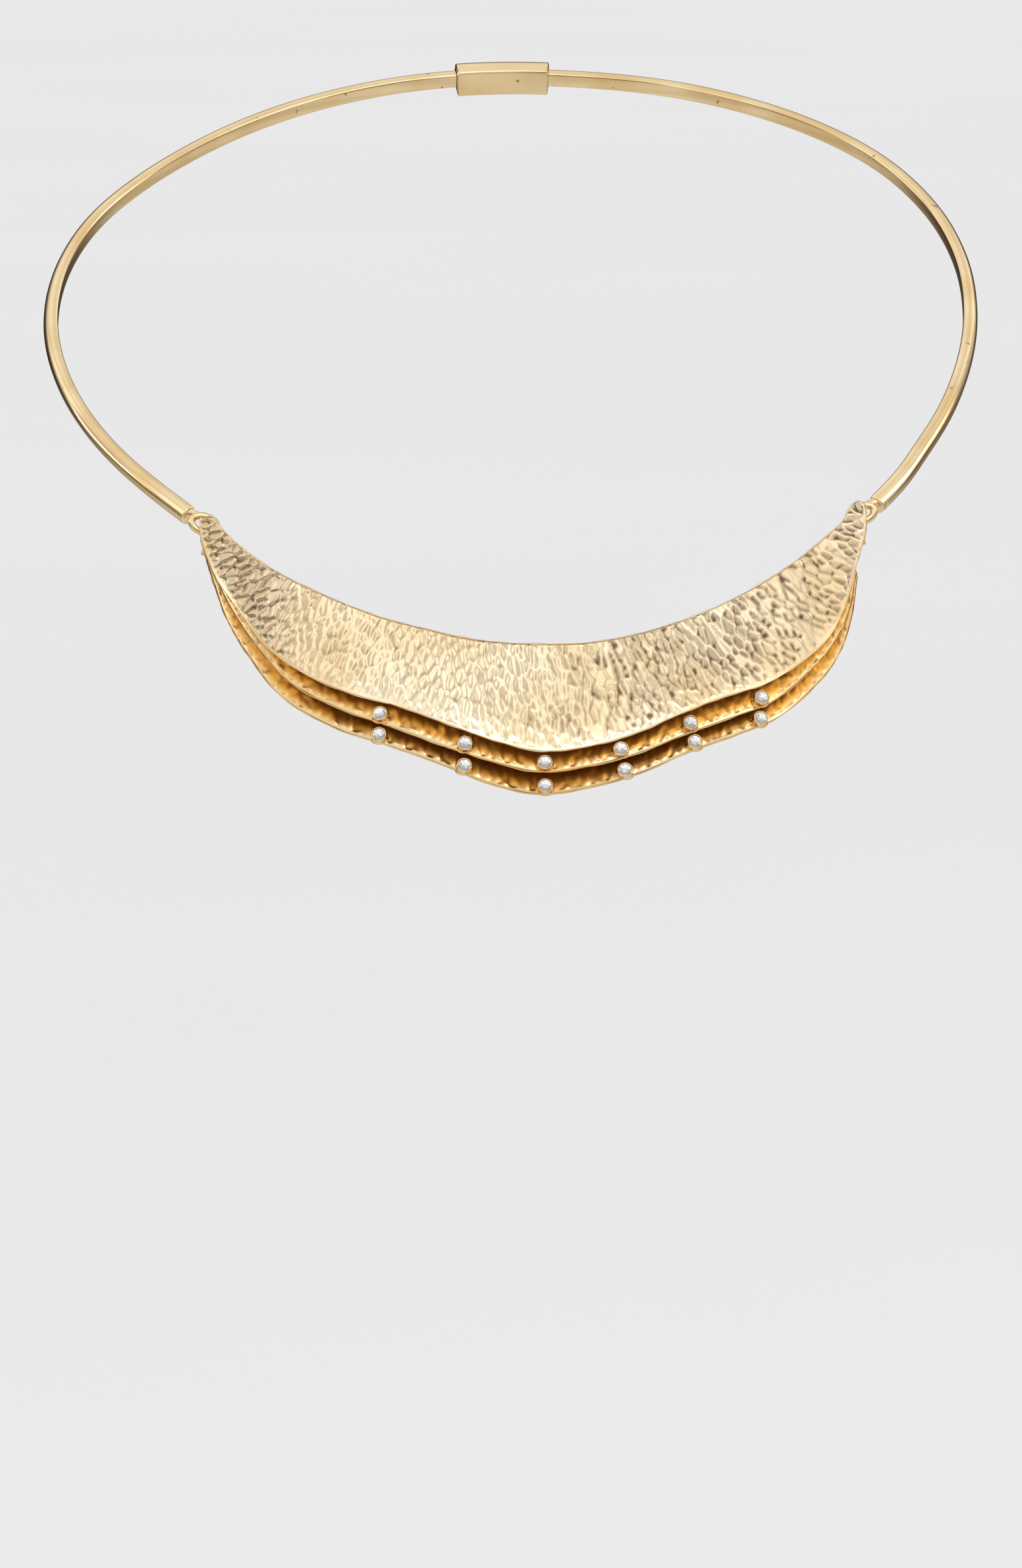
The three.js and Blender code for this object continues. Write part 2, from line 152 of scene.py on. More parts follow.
class NodeBook:
    """Writes the node tree of one material, or of the room's light."""

    def __init__(self, owner: Any, surface: str = "ShaderNodeBsdfPrincipled",
                 output: str = "ShaderNodeOutputMaterial") -> None:
        """Empty the owner's tree and start it with a surface and an output."""
        self.material = owner
        owner.use_nodes = True
        self.tree = owner.node_tree
        self.tree.nodes.clear()
        self.surface = self.tree.nodes.new(surface)
        self.output = self.tree.nodes.new(output)
        self.tree.links.new(self.surface.outputs[0], self.output.inputs["Surface"])

    @classmethod
    def named(cls, name: str) -> "NodeBook":
        """Start a new material."""
        return cls(bpy.data.materials.new(name))

    def feed(self, socket: bpy.types.NodeSocket, value: Any) -> None:
        """Set a socket, or link a signal to it."""
        if isinstance(value, Signal):
            self.tree.links.new(value.socket, socket)
        else:
            socket.default_value = value

    def node(self, kind: str, settings: dict[str, Any], inputs: dict[Any, Any],
             output: int | str = 0) -> Signal:
        """Add a node of any type.

        Args:
            kind: the node's type name.
            settings: attributes set first; "stops" gives a colour ramp's stops.
            inputs: socket names or numbers with the values or signals that they take.
            output: the output that is returned.

        Returns:
            The chosen output as a signal.
        """
        made = self.tree.nodes.new(kind)
        for name, value in settings.items():
            if name == "stops":
                self._ramp(made, value)
            else:
                setattr(made, name, value)
        for name, value in inputs.items():
            self.feed(made.inputs[name], value)
        return Signal(self, made.outputs[output])

    def _ramp(self, made: bpy.types.Node, stops: Sequence[tuple[float, Sequence[float]]]) -> None:
        """Set a colour ramp's stops."""
        elements = made.color_ramp.elements
        while len(elements) < len(stops):
            elements.new(0.5)
        for element, (place, colour) in zip(elements, stops):
            element.position = place
            element.color = (*colour, 1.0)

    def mix(self, factor: Any, first: Any, second: Any) -> Signal:
        """Mix two colours."""
        pair = {"Factor": factor, 6: _rgba(first), 7: _rgba(second)}
        return self.node("ShaderNodeMix", {"data_type": "RGBA"}, pair, output=2)

    def ramp(self, factor: Any, *stops: tuple[float, Sequence[float]]) -> Signal:
        """Read a colour ramp."""
        return self.node("ShaderNodeValToRGB", {"stops": stops}, {"Fac": factor})

    def curve(self, factor: Any, low: float, high: float, to_low: float = 0.0,
              to_high: float = 1.0) -> Signal:
        """Map a range of values smoothly to another."""
        spans = {"Value": factor, "From Min": low, "From Max": high, "To Min": to_low, "To Max": to_high}
        return self.node("ShaderNodeMapRange", {"interpolation_type": "SMOOTHSTEP"}, spans)

    def place(self) -> Signal:
        """Return the object's own coordinates."""
        return self.node("ShaderNodeTexCoord", {}, {}, output="Object")

    def noise(self, scale: float, detail: float = 2.0, rough: float = 0.5,
              stretch: Vector | None = None) -> Signal:
        """Return a noise value, its coordinates stretched if asked."""
        where = self.place()
        if stretch is not None:
            where = self.node("ShaderNodeMapping", {}, {"Vector": where, "Scale": stretch})
        inputs = {"Vector": where, "Scale": scale, "Detail": detail, "Roughness": rough}
        return self.node("ShaderNodeTexNoise", {}, inputs)

    def layer(self, name: str) -> Signal:
        """Read a value stored on the mesh."""
        return self.node("ShaderNodeAttribute", {"attribute_name": name}, {}, output="Fac")

    def near(self, centre: Array, radius: float) -> Signal:
        """Return 1 at a point of the object, falling to 0 at a distance in millimetres."""
        spot = tuple(float(v) for v in centre)
        ends = {0: self.place(), 1: spot}
        gap = self.node("ShaderNodeVectorMath", {"operation": "DISTANCE"}, ends, output="Value")
        return self.curve(gap, 0.0, radius * MM, 1.0, 0.0)

    def bump(self, height: Any, distance: float, strength: float = 1.0) -> Signal:
        """Turn a height into a normal."""
        inputs = {"Height": height, "Distance": distance * MM, "Strength": strength}
        return self.node("ShaderNodeBump", {}, inputs)

    def finish(self, **inputs: Any) -> bpy.types.Material:
        """Feed the surface and return the material; an underscore stands for a space."""
        for name, value in inputs.items():
            self.feed(self.surface.inputs[name.replace("_", " ")], _rgba(value))
        return self.material


def _rgba(value: Any) -> Any:
    """Give a bare colour its alpha, and leave anything else as it is."""
    if isinstance(value, tuple) and len(value) == 3:
        return (*value, 1.0)
    return value


# ------------------------------------------------------------------ finishes
@dataclass(frozen=True)
class PolishedGold:
    """Polished gold plate with hairlines, faint clouding and a few pits."""

    bright: tuple[float, float, float] = (0.93, 0.73, 0.43)
    deep: tuple[float, float, float] = (0.84, 0.60, 0.30)
    pit: tuple[float, float, float] = (0.30, 0.17, 0.07)

    def build(self) -> bpy.types.Material:
        """Return the material."""
        book = NodeBook.named("polished_gold")
        cloud = book.noise(90.0, detail=3.0)
        hair = book.noise(700.0, detail=2.0, stretch=Vector((1.0, 1.0, 6.0)))
        pits = book.curve(book.noise(650.0, detail=1.0), 0.72, 0.78)
        colour = book.mix(book.curve(cloud, 0.35, 0.7), self.bright, self.deep)
        return book.finish(
            Base_Color=book.mix(pits * 0.7, colour, self.pit),
            Metallic=1.0,
            Roughness=book.curve(cloud, 0.3, 0.75, 0.09, 0.17) + pits * 0.25,
            Normal=book.bump(hair + pits * -1.5, 0.006, 0.35),
        )


@dataclass(frozen=True)
class HammeredGold:
    """Pale plate over hammer marks: darker, stained floors, brown painted shade in the creases and amber
    painted shade under the plate in front.
    """

    name: str = "hammered_gold"
    pale: tuple[float, float, float] = (0.97, 0.82, 0.59)
    warm: tuple[float, float, float] = (0.91, 0.69, 0.40)
    floor: tuple[float, float, float] = (0.60, 0.49, 0.29)
    # Brown painted shade for the creases between the hammer marks.
    crease_shade: tuple[float, float, float] = (0.12, 0.05, 0.013)
    # Amber painted shade and painted reflected gold light, for the hollow under the plate in front.
    painted_amber_shade: tuple[float, float, float] = (0.84, 0.40, 0.06)
    rust: tuple[float, float, float] = (0.36, 0.05, 0.02)
    rust_spot: tuple[float, float, float] = (44.7, -50.6, -28.7)
    # How much of the amber painted shade the plate gets.
    painted_shade_share: float = 0.0

    def build(self) -> bpy.types.Material:
        """Return the material."""
        book = NodeBook.named(self.name)
        cloud = book.noise(60.0, detail=3.0)
        grain = book.noise(4200.0, detail=2.0, rough=0.6)
        crease_shade = book.layer("groove")
        floor = book.layer("floor")
        shade = book.layer("shade")
        speckle = book.curve(grain, 0.40, 0.60) * floor
        colour = book.mix(book.curve(cloud, 0.3, 0.75), self.pale, self.warm)
        # Painted shade: amber where the plate lies under the one in front.
        colour = book.mix((shade * self.painted_shade_share).clamped(), colour, self.painted_amber_shade)
        colour = book.mix((speckle * 0.75).clamped(), colour, self.floor)
        # Painted shade: the creases and the engraved line are darkened towards brown.
        colour = book.mix((crease_shade * 0.9).clamped(), colour, self.crease_shade)
        spot = (np.array(self.rust_spot) - NAPE) * MM
        stain = book.near(spot, 0.75) * book.curve(book.noise(1500.0, detail=3.0), 0.42, 0.6)
        colour = book.mix(stain.clamped(), colour, self.rust)
        rough = book.curve(cloud, 0.3, 0.75, 0.17, 0.25) + speckle * 0.2 + crease_shade * 0.15 + shade * 0.22
        relief = grain * (0.25 + floor * 1.2)
        return book.finish(Base_Color=colour, Metallic=1.0, Roughness=rough,
                           Normal=book.bump(relief, 0.018, 0.5))


@dataclass(frozen=True)
class ClearCrystal:
    """Clear cut glass."""

    tint: tuple[float, float, float] = (0.99, 0.995, 1.0)

    def build(self) -> bpy.types.Material:
        """Return the material."""
        book = NodeBook.named("clear_crystal")
        film = book.noise(900.0, detail=1.0)
        return book.finish(Base_Color=self.tint, Metallic=0.0, IOR=1.62, Transmission_Weight=1.0,
                           Roughness=book.curve(film, 0.4, 0.8, 0.0, 0.02))


@dataclass(frozen=True)
class SilverFoil:
    """The bright foil behind a stone, with a faint painted glow."""

    # The foil's own colour, also used for its painted glow.
    silver_and_glow: tuple[float, float, float] = (0.95, 0.95, 0.96)
    worn: tuple[float, float, float] = (0.75, 0.75, 0.77)

    def build(self) -> bpy.types.Material:
        """Return the material."""
        book = NodeBook.named("silver_foil")
        wear = book.noise(1400.0, detail=2.0)
        # The emission below is a painted glow, not a lamp.
        return book.finish(Base_Color=book.mix(book.curve(wear, 0.4, 0.75), self.silver_and_glow, self.worn),
                           Metallic=1.0, Roughness=book.curve(wear, 0.3, 0.8, 0.04, 0.14),
                           Emission_Color=self.silver_and_glow, Emission_Strength=0.14)


@dataclass(frozen=True)
class PaleFloor:
    """The studio's matt paper."""

    paper: tuple[float, float, float] = (0.30, 0.30, 0.305)
    shade: tuple[float, float, float] = (0.27, 0.27, 0.275)
    glow: tuple[float, float, float] = (0.525, 0.525, 0.53)

    def build(self) -> bpy.types.Material:
        """Return the material."""
        book = NodeBook.named("pale_paper")
        cloud = book.noise(2.0, detail=2.0)
        return book.finish(Base_Color=book.mix(cloud, self.paper, self.shade), Roughness=0.9,
                           Emission_Color=self.glow, Emission_Strength=1.0)


# ------------------------------------------------------------------ mesh making
@dataclass
class Shell:
    """Points and faces that grow into one mesh object."""

    points: list[Array] = field(default_factory=list)
    faces: list[tuple[int, ...]] = field(default_factory=list)
    finish_of: list[int] = field(default_factory=list)
    count: int = 0

    def add(self, points: Array, faces: Iterable[Sequence[int]], finish: int = 0) -> None:
        """Add a patch of points, with faces numbered within it."""
        before = len(self.faces)
        self.faces.extend(tuple(int(i) + self.count for i in face) for face in faces)
        self.points.append(np.asarray(points, dtype=float).reshape(-1, 3))
        self.count += len(self.points[-1])
        self.finish_of.extend([finish] * (len(self.faces) - before))

    def loft(self, rings: Array, closed: bool = False, finish: int = 0) -> None:
        """Add a solid through equal rings of points.

        Args:
            rings: an array of rings, points and coordinates.
            closed: whether the last ring joins the first; open ends get a cap.
            finish: the material's number.
        """
        many, per = rings.shape[:2]
        here, there = np.arange(per), (np.arange(per) + 1) % per
        if _volume(rings, closed) < 0:
            here, there = there, here
        faces: list[Sequence[int]] = []
        for i in range(many if closed else many - 1):
            low, high = i * per, ((i + 1) % many) * per
            faces.extend(np.stack([low + here, high + here, high + there, low + there], axis=1).tolist())
        if not closed:
            last = (many - 1) * per
            order = list(range(per)) if _volume(rings, closed) < 0 else list(range(per))[::-1]
            faces.append(order[::-1])
            faces.append([last + i for i in order])
        self.add(rings, faces, finish)

    def build(self, name: str, materials: Sequence[bpy.types.Material],
              layers: dict[str, Array] | None = None, sharp: float = 35.0) -> bpy.types.Object:
        """Make the object, in the frame's metres.

        Args:
            name: the piece's name.
            materials: its finishes, in the order of their numbers.
            layers: values stored on the mesh's points, by name.
            sharp: edges that turn more than this many degrees stay crisp.

        Returns:
            The new object.
        """
        points = (np.concatenate(self.points) - NAPE) * MM
        mesh = bpy.data.meshes.new(name)
        mesh.from_pydata(points.tolist(), [], self.faces)
        mesh.polygons.foreach_set("material_index", self.finish_of)
        for key, values in (layers or {}).items():
            layer = mesh.attributes.new(key, "FLOAT", "POINT")
            layer.data.foreach_set("value", np.ascontiguousarray(values, dtype=np.float32))
        for material in materials:
            mesh.materials.append(material)
        mesh.update()
        mesh.shade_smooth()
        mesh.set_sharp_from_angle(angle=math.radians(sharp))
        made = bpy.data.objects.new(name, mesh)
        bpy.context.collection.objects.link(made)
        return made


def _volume(rings: Array, closed: bool) -> float:
    """Return a loft's signed size, to tell which way its faces would look."""
    total = 0.0
    for first, second in zip(rings, np.roll(rings, -1, axis=0) if closed else rings[1:]):
        across = np.roll(first, -1, axis=0)
        total += float(np.einsum("ij,ij->", first, np.cross(second, np.roll(second, -1, axis=0))))
        total += float(np.einsum("ij,ij->", first, np.cross(np.roll(second, -1, axis=0), across)))
    caps = 0.0 if closed else _cap(rings[-1]) - _cap(rings[0])
    return total + caps


def _cap(ring: Array) -> float:
    """Return a cap's share of the signed size."""
    middle = ring.mean(axis=0)
    return float(np.einsum("ij,j->", np.cross(np.roll(ring, -1, axis=0), ring), middle))


def smooth(value: Array | float) -> Array:
    """Ease from 0 to 1."""
    held = np.clip(value, 0.0, 1.0)
    return held * held * (3.0 - 2.0 * held)


def column(table: Array, at: Array | float) -> Array:
    """Read a table smoothly between its rows.

    Args:
        table: rows of values.
        at: row numbers, with fractions.

    Returns:
        The values there (Catmull-Rom).
    """
    last = len(table) - 1
    low = np.clip(np.floor(at).astype(int), 0, last - 1)
    part = (at - low)[..., None]
    a, b, c, d = (table[np.clip(low + step, 0, last)] for step in (-1, 0, 1, 2))
    return b + 0.5 * part * (c - a + part * (2 * a - 5 * b + 4 * c - d + part * (3 * (b - c) + d - a)))


def join_frame(piece: bpy.types.Object, body: Body, slot: Slot, *nodes: str) -> None:
    """Tell the frame what a piece rides on and what it stands for."""
    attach(piece, body.value)
    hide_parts(*nodes)
    LOG.info("%s: %d faces, rides on %s", piece.name, len(piece.data.polygons), body.value)


# ------------------------------------------------------------------ collar
@dataclass
class Collar:
    """Two sprung arms of D wire, each ending in an eye, joined at the nape by a sleeve."""

    swell: float = 1.1
    swell_from: float = 0.6
    swell_over: float = 0.3
    steps: int = 320
    eye_x: float = 48.1
    eye_y: float = -46.94
    eye_z: float = -25.65
    eye_long: float = 1.9
    eye_short: float = 1.2
    eye_wire: float = 0.52
    droop: float = math.radians(20)
    lean: float = math.radians(22)
    neck_at: float = math.radians(50)
    neck_inset: float = 0.13
    neck_back: float = 1.0
    neck_steps: int = 40
    sleeve_half: float = math.radians(6)
    sleeve_web: float = math.radians(1.6)
    sleeve_steps: int = 24
    lip_from: float = 0.01
    lip_share: float = 0.6
    lip_back: float = 0.002
    # Wire centre: degrees from the side (+ towards the nape) and distance from the ring's centre.
    right_arm: tuple[tuple[float, float], ...] = (
        (88.3, 69.5), (80, 69.5), (64, 69.2), (47, 69.0), (36, 69.4), (24, 70.3), (12, 70.6),
        (0, 70.6), (-14, 70.4), (-26, 70.5), (-36, 70.9), (-42, 71.5), (-45.5, 72.1))
    left_arm: tuple[tuple[float, float], ...] = (
        (88.3, 69.5), (80, 69.5), (64, 70.6), (47, 71.5), (36, 71.6), (24, 70.7), (12, 69.4),
        (0, 68.2), (-12, 67.7), (-22, 68.0), (-32, 69.0), (-40, 70.8), (-45.5, 72.1))
    # Share of the way from the wire's end to the eye, and the section's size there.
    neck: tuple[tuple[float, float], ...] = (
        (0, 1.0), (0.1, 0.95), (0.22, 0.84), (0.36, 0.72), (0.5, 0.63), (0.66, 0.55), (0.82, 0.48),
        (1, 0.42))

    def section(self, more: float = 0.0, dome_points: int = 15) -> Array:
        """Return the wire's D as rows of (out, up), its edges eased.

        Args:
            more: growth all round.
            dome_points: points round the dome.

        Returns:
            An array of points.
        """
        flat = -RING.wire_thick / 2 - more
        high = RING.wire_high / 2 + more
        dome = RING.wire_thick / 2 + more
        turns = np.radians(np.linspace(84, -84, dome_points))
        upper = [(flat, high * 0.74), (flat + 0.05, high * 0.86), (flat + 0.16, high * 0.96),
                 (flat + 0.32, high), (dome * 0.02, high)]
        crown = [(dome * (0.1 + 0.9 * math.cos(t)), high * math.sin(t)) for t in turns]
        lower = [(out, -up) for out, up in reversed(upper)]
        return np.array(upper + crown + lower)

    def ring(self, side: int, angle: float, radius: float, more: float = 0.0, swell: float = 1.0) -> Array:
        """Return one cross section of the wire in space."""
        out, up = self.section(more).T
        return RING.point(side, angle, radius + out * swell, up * swell)

    def run(self, side: int, table: Array) -> Array:
        """Return an arm's cross sections, its free end eased.

        Args:
            side: 1 or -1.
            table: the wire's centre line.

        Returns:
            Rings of points from the nape to the front.
        """
        many = len(table)
        rings = []
        for at in np.linspace(0, many - 1, self.steps):
            degrees, radius = column(table, np.array(at))
            grown = float(smooth((at / many - self.swell_from) / self.swell_over))
            rings.append(self.ring(side, math.radians(degrees), radius, 0.0, 1 + (self.swell - 1) * grown))
        ease = [(0.0, -0.16), (0.06, -0.06), (0.16, 0.0)]
        start = [self.ring(side, math.radians(table[0][0] - gap), table[0][1], more) for gap, more in ease]
        last = math.radians(table[-1][0])
        end = [self.ring(side, last - step * 0.0012, table[-1][1], more, self.swell)
               for step, more in ((1, -0.01), (2, -0.05), (2.8, -0.14))]
        return np.array(start + rings[2:] + end)

    def eye_point(self, side: int, across: Array, up: Array, forward: Array) -> Array:
        """Place a point given in the eye's own leaning plane."""
        across, up, forward = np.broadcast_arrays(across, up, forward)
        sin, cos = math.sin(self.lean), math.cos(self.lean)
        return np.stack([side * (self.eye_x + across), self.eye_y + up * sin - forward * cos,
                         self.eye_z + up * cos + forward * sin], axis=-1)

    def eye_wire_centre(self, turn: Array) -> tuple[Array, Array]:
        """Return the eye's centre line across and up, by turn from its outer end."""
        long, short = self.eye_long * np.cos(turn), self.eye_short * np.sin(turn)
        sin, cos = math.sin(self.droop), math.cos(self.droop)
        return long * cos - short * sin, long * sin + short * cos

    def eye(self, side: int) -> Array:
        """Return the eye's rings of points."""
        turns = np.linspace(0, 2 * math.pi, 96, endpoint=False)
        around = np.linspace(0, 2 * math.pi, 20, endpoint=False)
        across, up = self.eye_wire_centre(turns)
        ahead, above = self.eye_wire_centre(turns + 0.01)
        way = np.arctan2(above - up, ahead - across)[:, None]
        out = self.eye_wire * np.cos(around)
        return self.eye_point(side, across[:, None] + out * np.sin(way), up[:, None] - out * np.cos(way),
                              self.eye_wire * np.sin(around) + 0 * way)

    def neck_rings(self, side: int, table: Array) -> Array:
        """Return the taper from the arm's end into the eye."""
        degrees, radius = table[-1]
        start = self.ring(side, math.radians(degrees + self.neck_back), radius, -self.neck_inset, self.swell)
        middle = start.mean(axis=0)
        across, up = self.eye_wire_centre(np.array(self.neck_at))
        target = self.eye_point(side, across, up, np.array(0.0))
        shares = column(np.array(self.neck), np.linspace(0, len(self.neck) - 1, self.neck_steps))
        return np.array([(start - middle) * size + middle + (target - middle) * share
                         for share, size in shares])

    def build_arm(self, side: Side, gold: bpy.types.Material) -> bpy.types.Object:
        """Build one arm with its neck and eye.

        Args:
            side: the wearer's side.
            gold: its finish.

        Returns:
            The arm.
        """
        table = np.array(self.left_arm if side is Side.LEFT else self.right_arm, dtype=float)
        shell = Shell()
        shell.loft(self.run(side.value, table))
        shell.loft(self.neck_rings(side.value, table))
        shell.loft(self.eye(side.value), closed=True)
        node = "collar_" + side.name.lower()
        piece = shell.build(node + "_arm", [gold])
        join_frame(piece, Body.COLLAR, Slot.POLISHED, node)
        return piece

    def build_sleeve(self, gold: bpy.types.Material) -> bpy.types.Object:
        """Build the plain sleeve that holds both arms' ends, as one skin with two sockets."""
        wall, gap = RING.sleeve_wall + RING.socket_gap, RING.socket_gap
        lip = [(0.0, gap), (0.04, gap + 0.12), (0.11, gap + 0.22), (0.13, gap + 0.3),
               (0.11, wall - 0.18), (0.05, wall - 0.06), (-0.05, wall)]
        path = [(-self.sleeve_web, gap), (-self.sleeve_half, gap)]
        half, flat = self.sleeve_half, self.sleeve_half - self.lip_from
        path += [(-half - math.radians(out) * self.lip_share + self.lip_back, more) for out, more in lip[1:]]
        path += [(turn, wall) for turn in np.linspace(-flat, flat, self.sleeve_steps)]
        path += [(half + math.radians(out) * self.lip_share - self.lip_back, more)
                 for out, more in reversed(lip[1:])]
        path += [(self.sleeve_half, gap), (self.sleeve_web, gap)]
        rings = [self.ring(1, math.pi / 2 + turn, RING.nape_radius, more) for turn, more in path]
        shell = Shell()
        shell.loft(np.array(rings))
        piece = shell.build("nape_sleeve", [gold])
        join_frame(piece, Body.COLLAR, Slot.POLISHED, "clasp")
        return piece


# ------------------------------------------------------------------ bib
@dataclass(frozen=True)
class Marks:
    """How a plate is hammered.

    Attributes:
        seed: starts its random draws.
        length: a mark's long axis in millimetres.
        width: its short axis.
        depth: how deep its floor lies.
        step: how far it leans across.
        strikes: how many marks are tried.
        fade: distance from the rims over which the marks die out.
    """

    seed: int
    length: float = 1.95
    width: float = 1.0
    depth: float = 0.11
    step: float = 0.12
    strikes: int = 5200
    fade: float = 0.55


@dataclass(frozen=True)
class Land:
    """How the marks change over a plate, each share sections by rows.

    Attributes:
        dished: 0 where the marks are soft pads, 1 where they are dished leaves.
        ridged: 1 at the tip on the wearer's right, where they stand up as ridges.
        flat: 1 at the tip on the wearer's left, where little but the creases shows.
    """

    dished: Array
    ridged: Array
    flat: Array


@dataclass(frozen=True)
class PlateSizes:
    """One crescent of the bib.

    Attributes:
        tip: how far it lies behind the front surface at its tips.
        deep: the same in the middle.
        lip: how far its lower edge turns out.
        scoop: height of that turn.
        shows: column of the crescent's table with what shows below the front plate, or None.
        first: the row where it starts.
        last: the row where it ends.
        inset: how far its upper edge draws in.
        foot: height of the settings' feet above its lower edge.
        sections: cross sections along it.
        rows: points down its face.
        crowding: power by which the rows crowd to the lower edge.
    """

    tip: float
    deep: float
    lip: float
    scoop: float
    shows: int | None
    first: float
    last: float
    inset: float
    foot: float
    sections: int
    rows: int
    crowding: float


class Layer(Enum):
    """The bib's three plates, front to back."""

    FRONT = PlateSizes(0.0, 0.0, 0.5, 3.5, None, 0.0, 24.0, 0.0, 0.0, 720, 104, 1.0)
    MIDDLE = PlateSizes(1.02, 2.1, 2.1, 5.5, 4, 2.5, 20.8, 0.8, 1.05, 560, 56, 1.9)
    BACK = PlateSizes(2.02, 3.7, 3.5, 6.0, 5, 2.5, 20.8, 0.8, 0.83, 560, 60, 1.8)


# Front view of the bib, a row for each cross line, wearer's right to left: where it meets the
# upper edge (x, z) and the front plate's lower edge (x, z), then what shows of the middle and
# back plates past that edge.
CRESCENT = np.array([
    [-48.5, -24.2, -48.8, -25.4, 0.0, 0.0],
    [-46.8, -24.4, -48.8, -27.2, 0.1, 0.2],
    [-45.1, -26.4, -48.3, -28.9, 0.1, 0.3],
    [-43.1, -28.2, -47.5, -31.1, 0.1, 0.4],
    [-40.4, -30.2, -46.1, -33.8, 0.3, 0.9],
    [-36.6, -32.3, -43.4, -37.6, 0.9, 2.3],
    [-31.9, -34.4, -39.8, -42.2, 1.2, 3.0],
    [-27.2, -36.2, -34.7, -45.7, 2.2, 4.7],
    [-22.5, -37.8, -27.7, -48.4, 2.7, 5.5],
    [-16.9, -39.1, -20.2, -50.3, 3.1, 5.8],
    [-11.2, -40.4, -13.6, -52.5, 3.2, 5.8],
    [-5.5, -41.1, -7.0, -54.8, 3.0, 6.2],
    [0.1, -41.4, -0.3, -56.3, 3.0, 6.1],
    [5.8, -41.4, 6.7, -55.8, 2.8, 5.8],
    [11.6, -40.8, 13.4, -54.2, 2.9, 5.7],
    [17.4, -39.6, 19.9, -51.9, 3.0, 5.6],
    [23.2, -38.0, 26.4, -49.8, 3.2, 5.8],
    [28.1, -36.2, 32.7, -48.4, 2.8, 5.3],
    [33.1, -34.0, 38.4, -45.7, 2.0, 4.3],
    [38.1, -31.3, 42.6, -42.6, 1.4, 3.4],
    [42.2, -28.6, 45.3, -38.0, 1.4, 2.6],
    [45.0, -26.4, 47.2, -32.4, 0.4, 0.9],
    [45.9, -25.0, 48.5, -28.2, 0.1, 0.2],
    [46.6, -24.0, 48.8, -25.4, 0.0, 0.0],
    [47.4, -23.6, 48.6, -24.1, 0.0, 0.0],
])

# Which way the marks run, degrees from +X in the front view, across the bib.
MARK_WAY_X = np.array([-48.0, -42.0, -36.0, -25.0, -10.0, 5.0, 20.0, 32.0, 40.0, 46.0])
MARK_WAY = np.array([20.0, 35.0, 58.0, 74.0, 88.0, 104.0, 122.0, 133.0, 143.0, 165.0])


@dataclass(frozen=True)
class Strip:
    """The folded strip that hangs a plate's tip in an eye.

    Attributes:
        half: half its width.
        thick: its thickness.
        ease: radius of its edges.
        inner: radius inside the fold.
        aside: how far it lies outward of the eye's lowest point.
        set_back: how far it lies behind the eye's plane.
        leg: length of its back leg.
        root: length that is soldered under the plate's tip.
        end: the back leg's last section, against the rest.
    """

    half: float = 0.6
    thick: float = 0.3
    ease: float = 0.1
    inner: float = 1.0
    aside: float = 0.45
    set_back: float = 0.15
    leg: float = 3.0
    root: float = 0.3
    end: float = 0.8


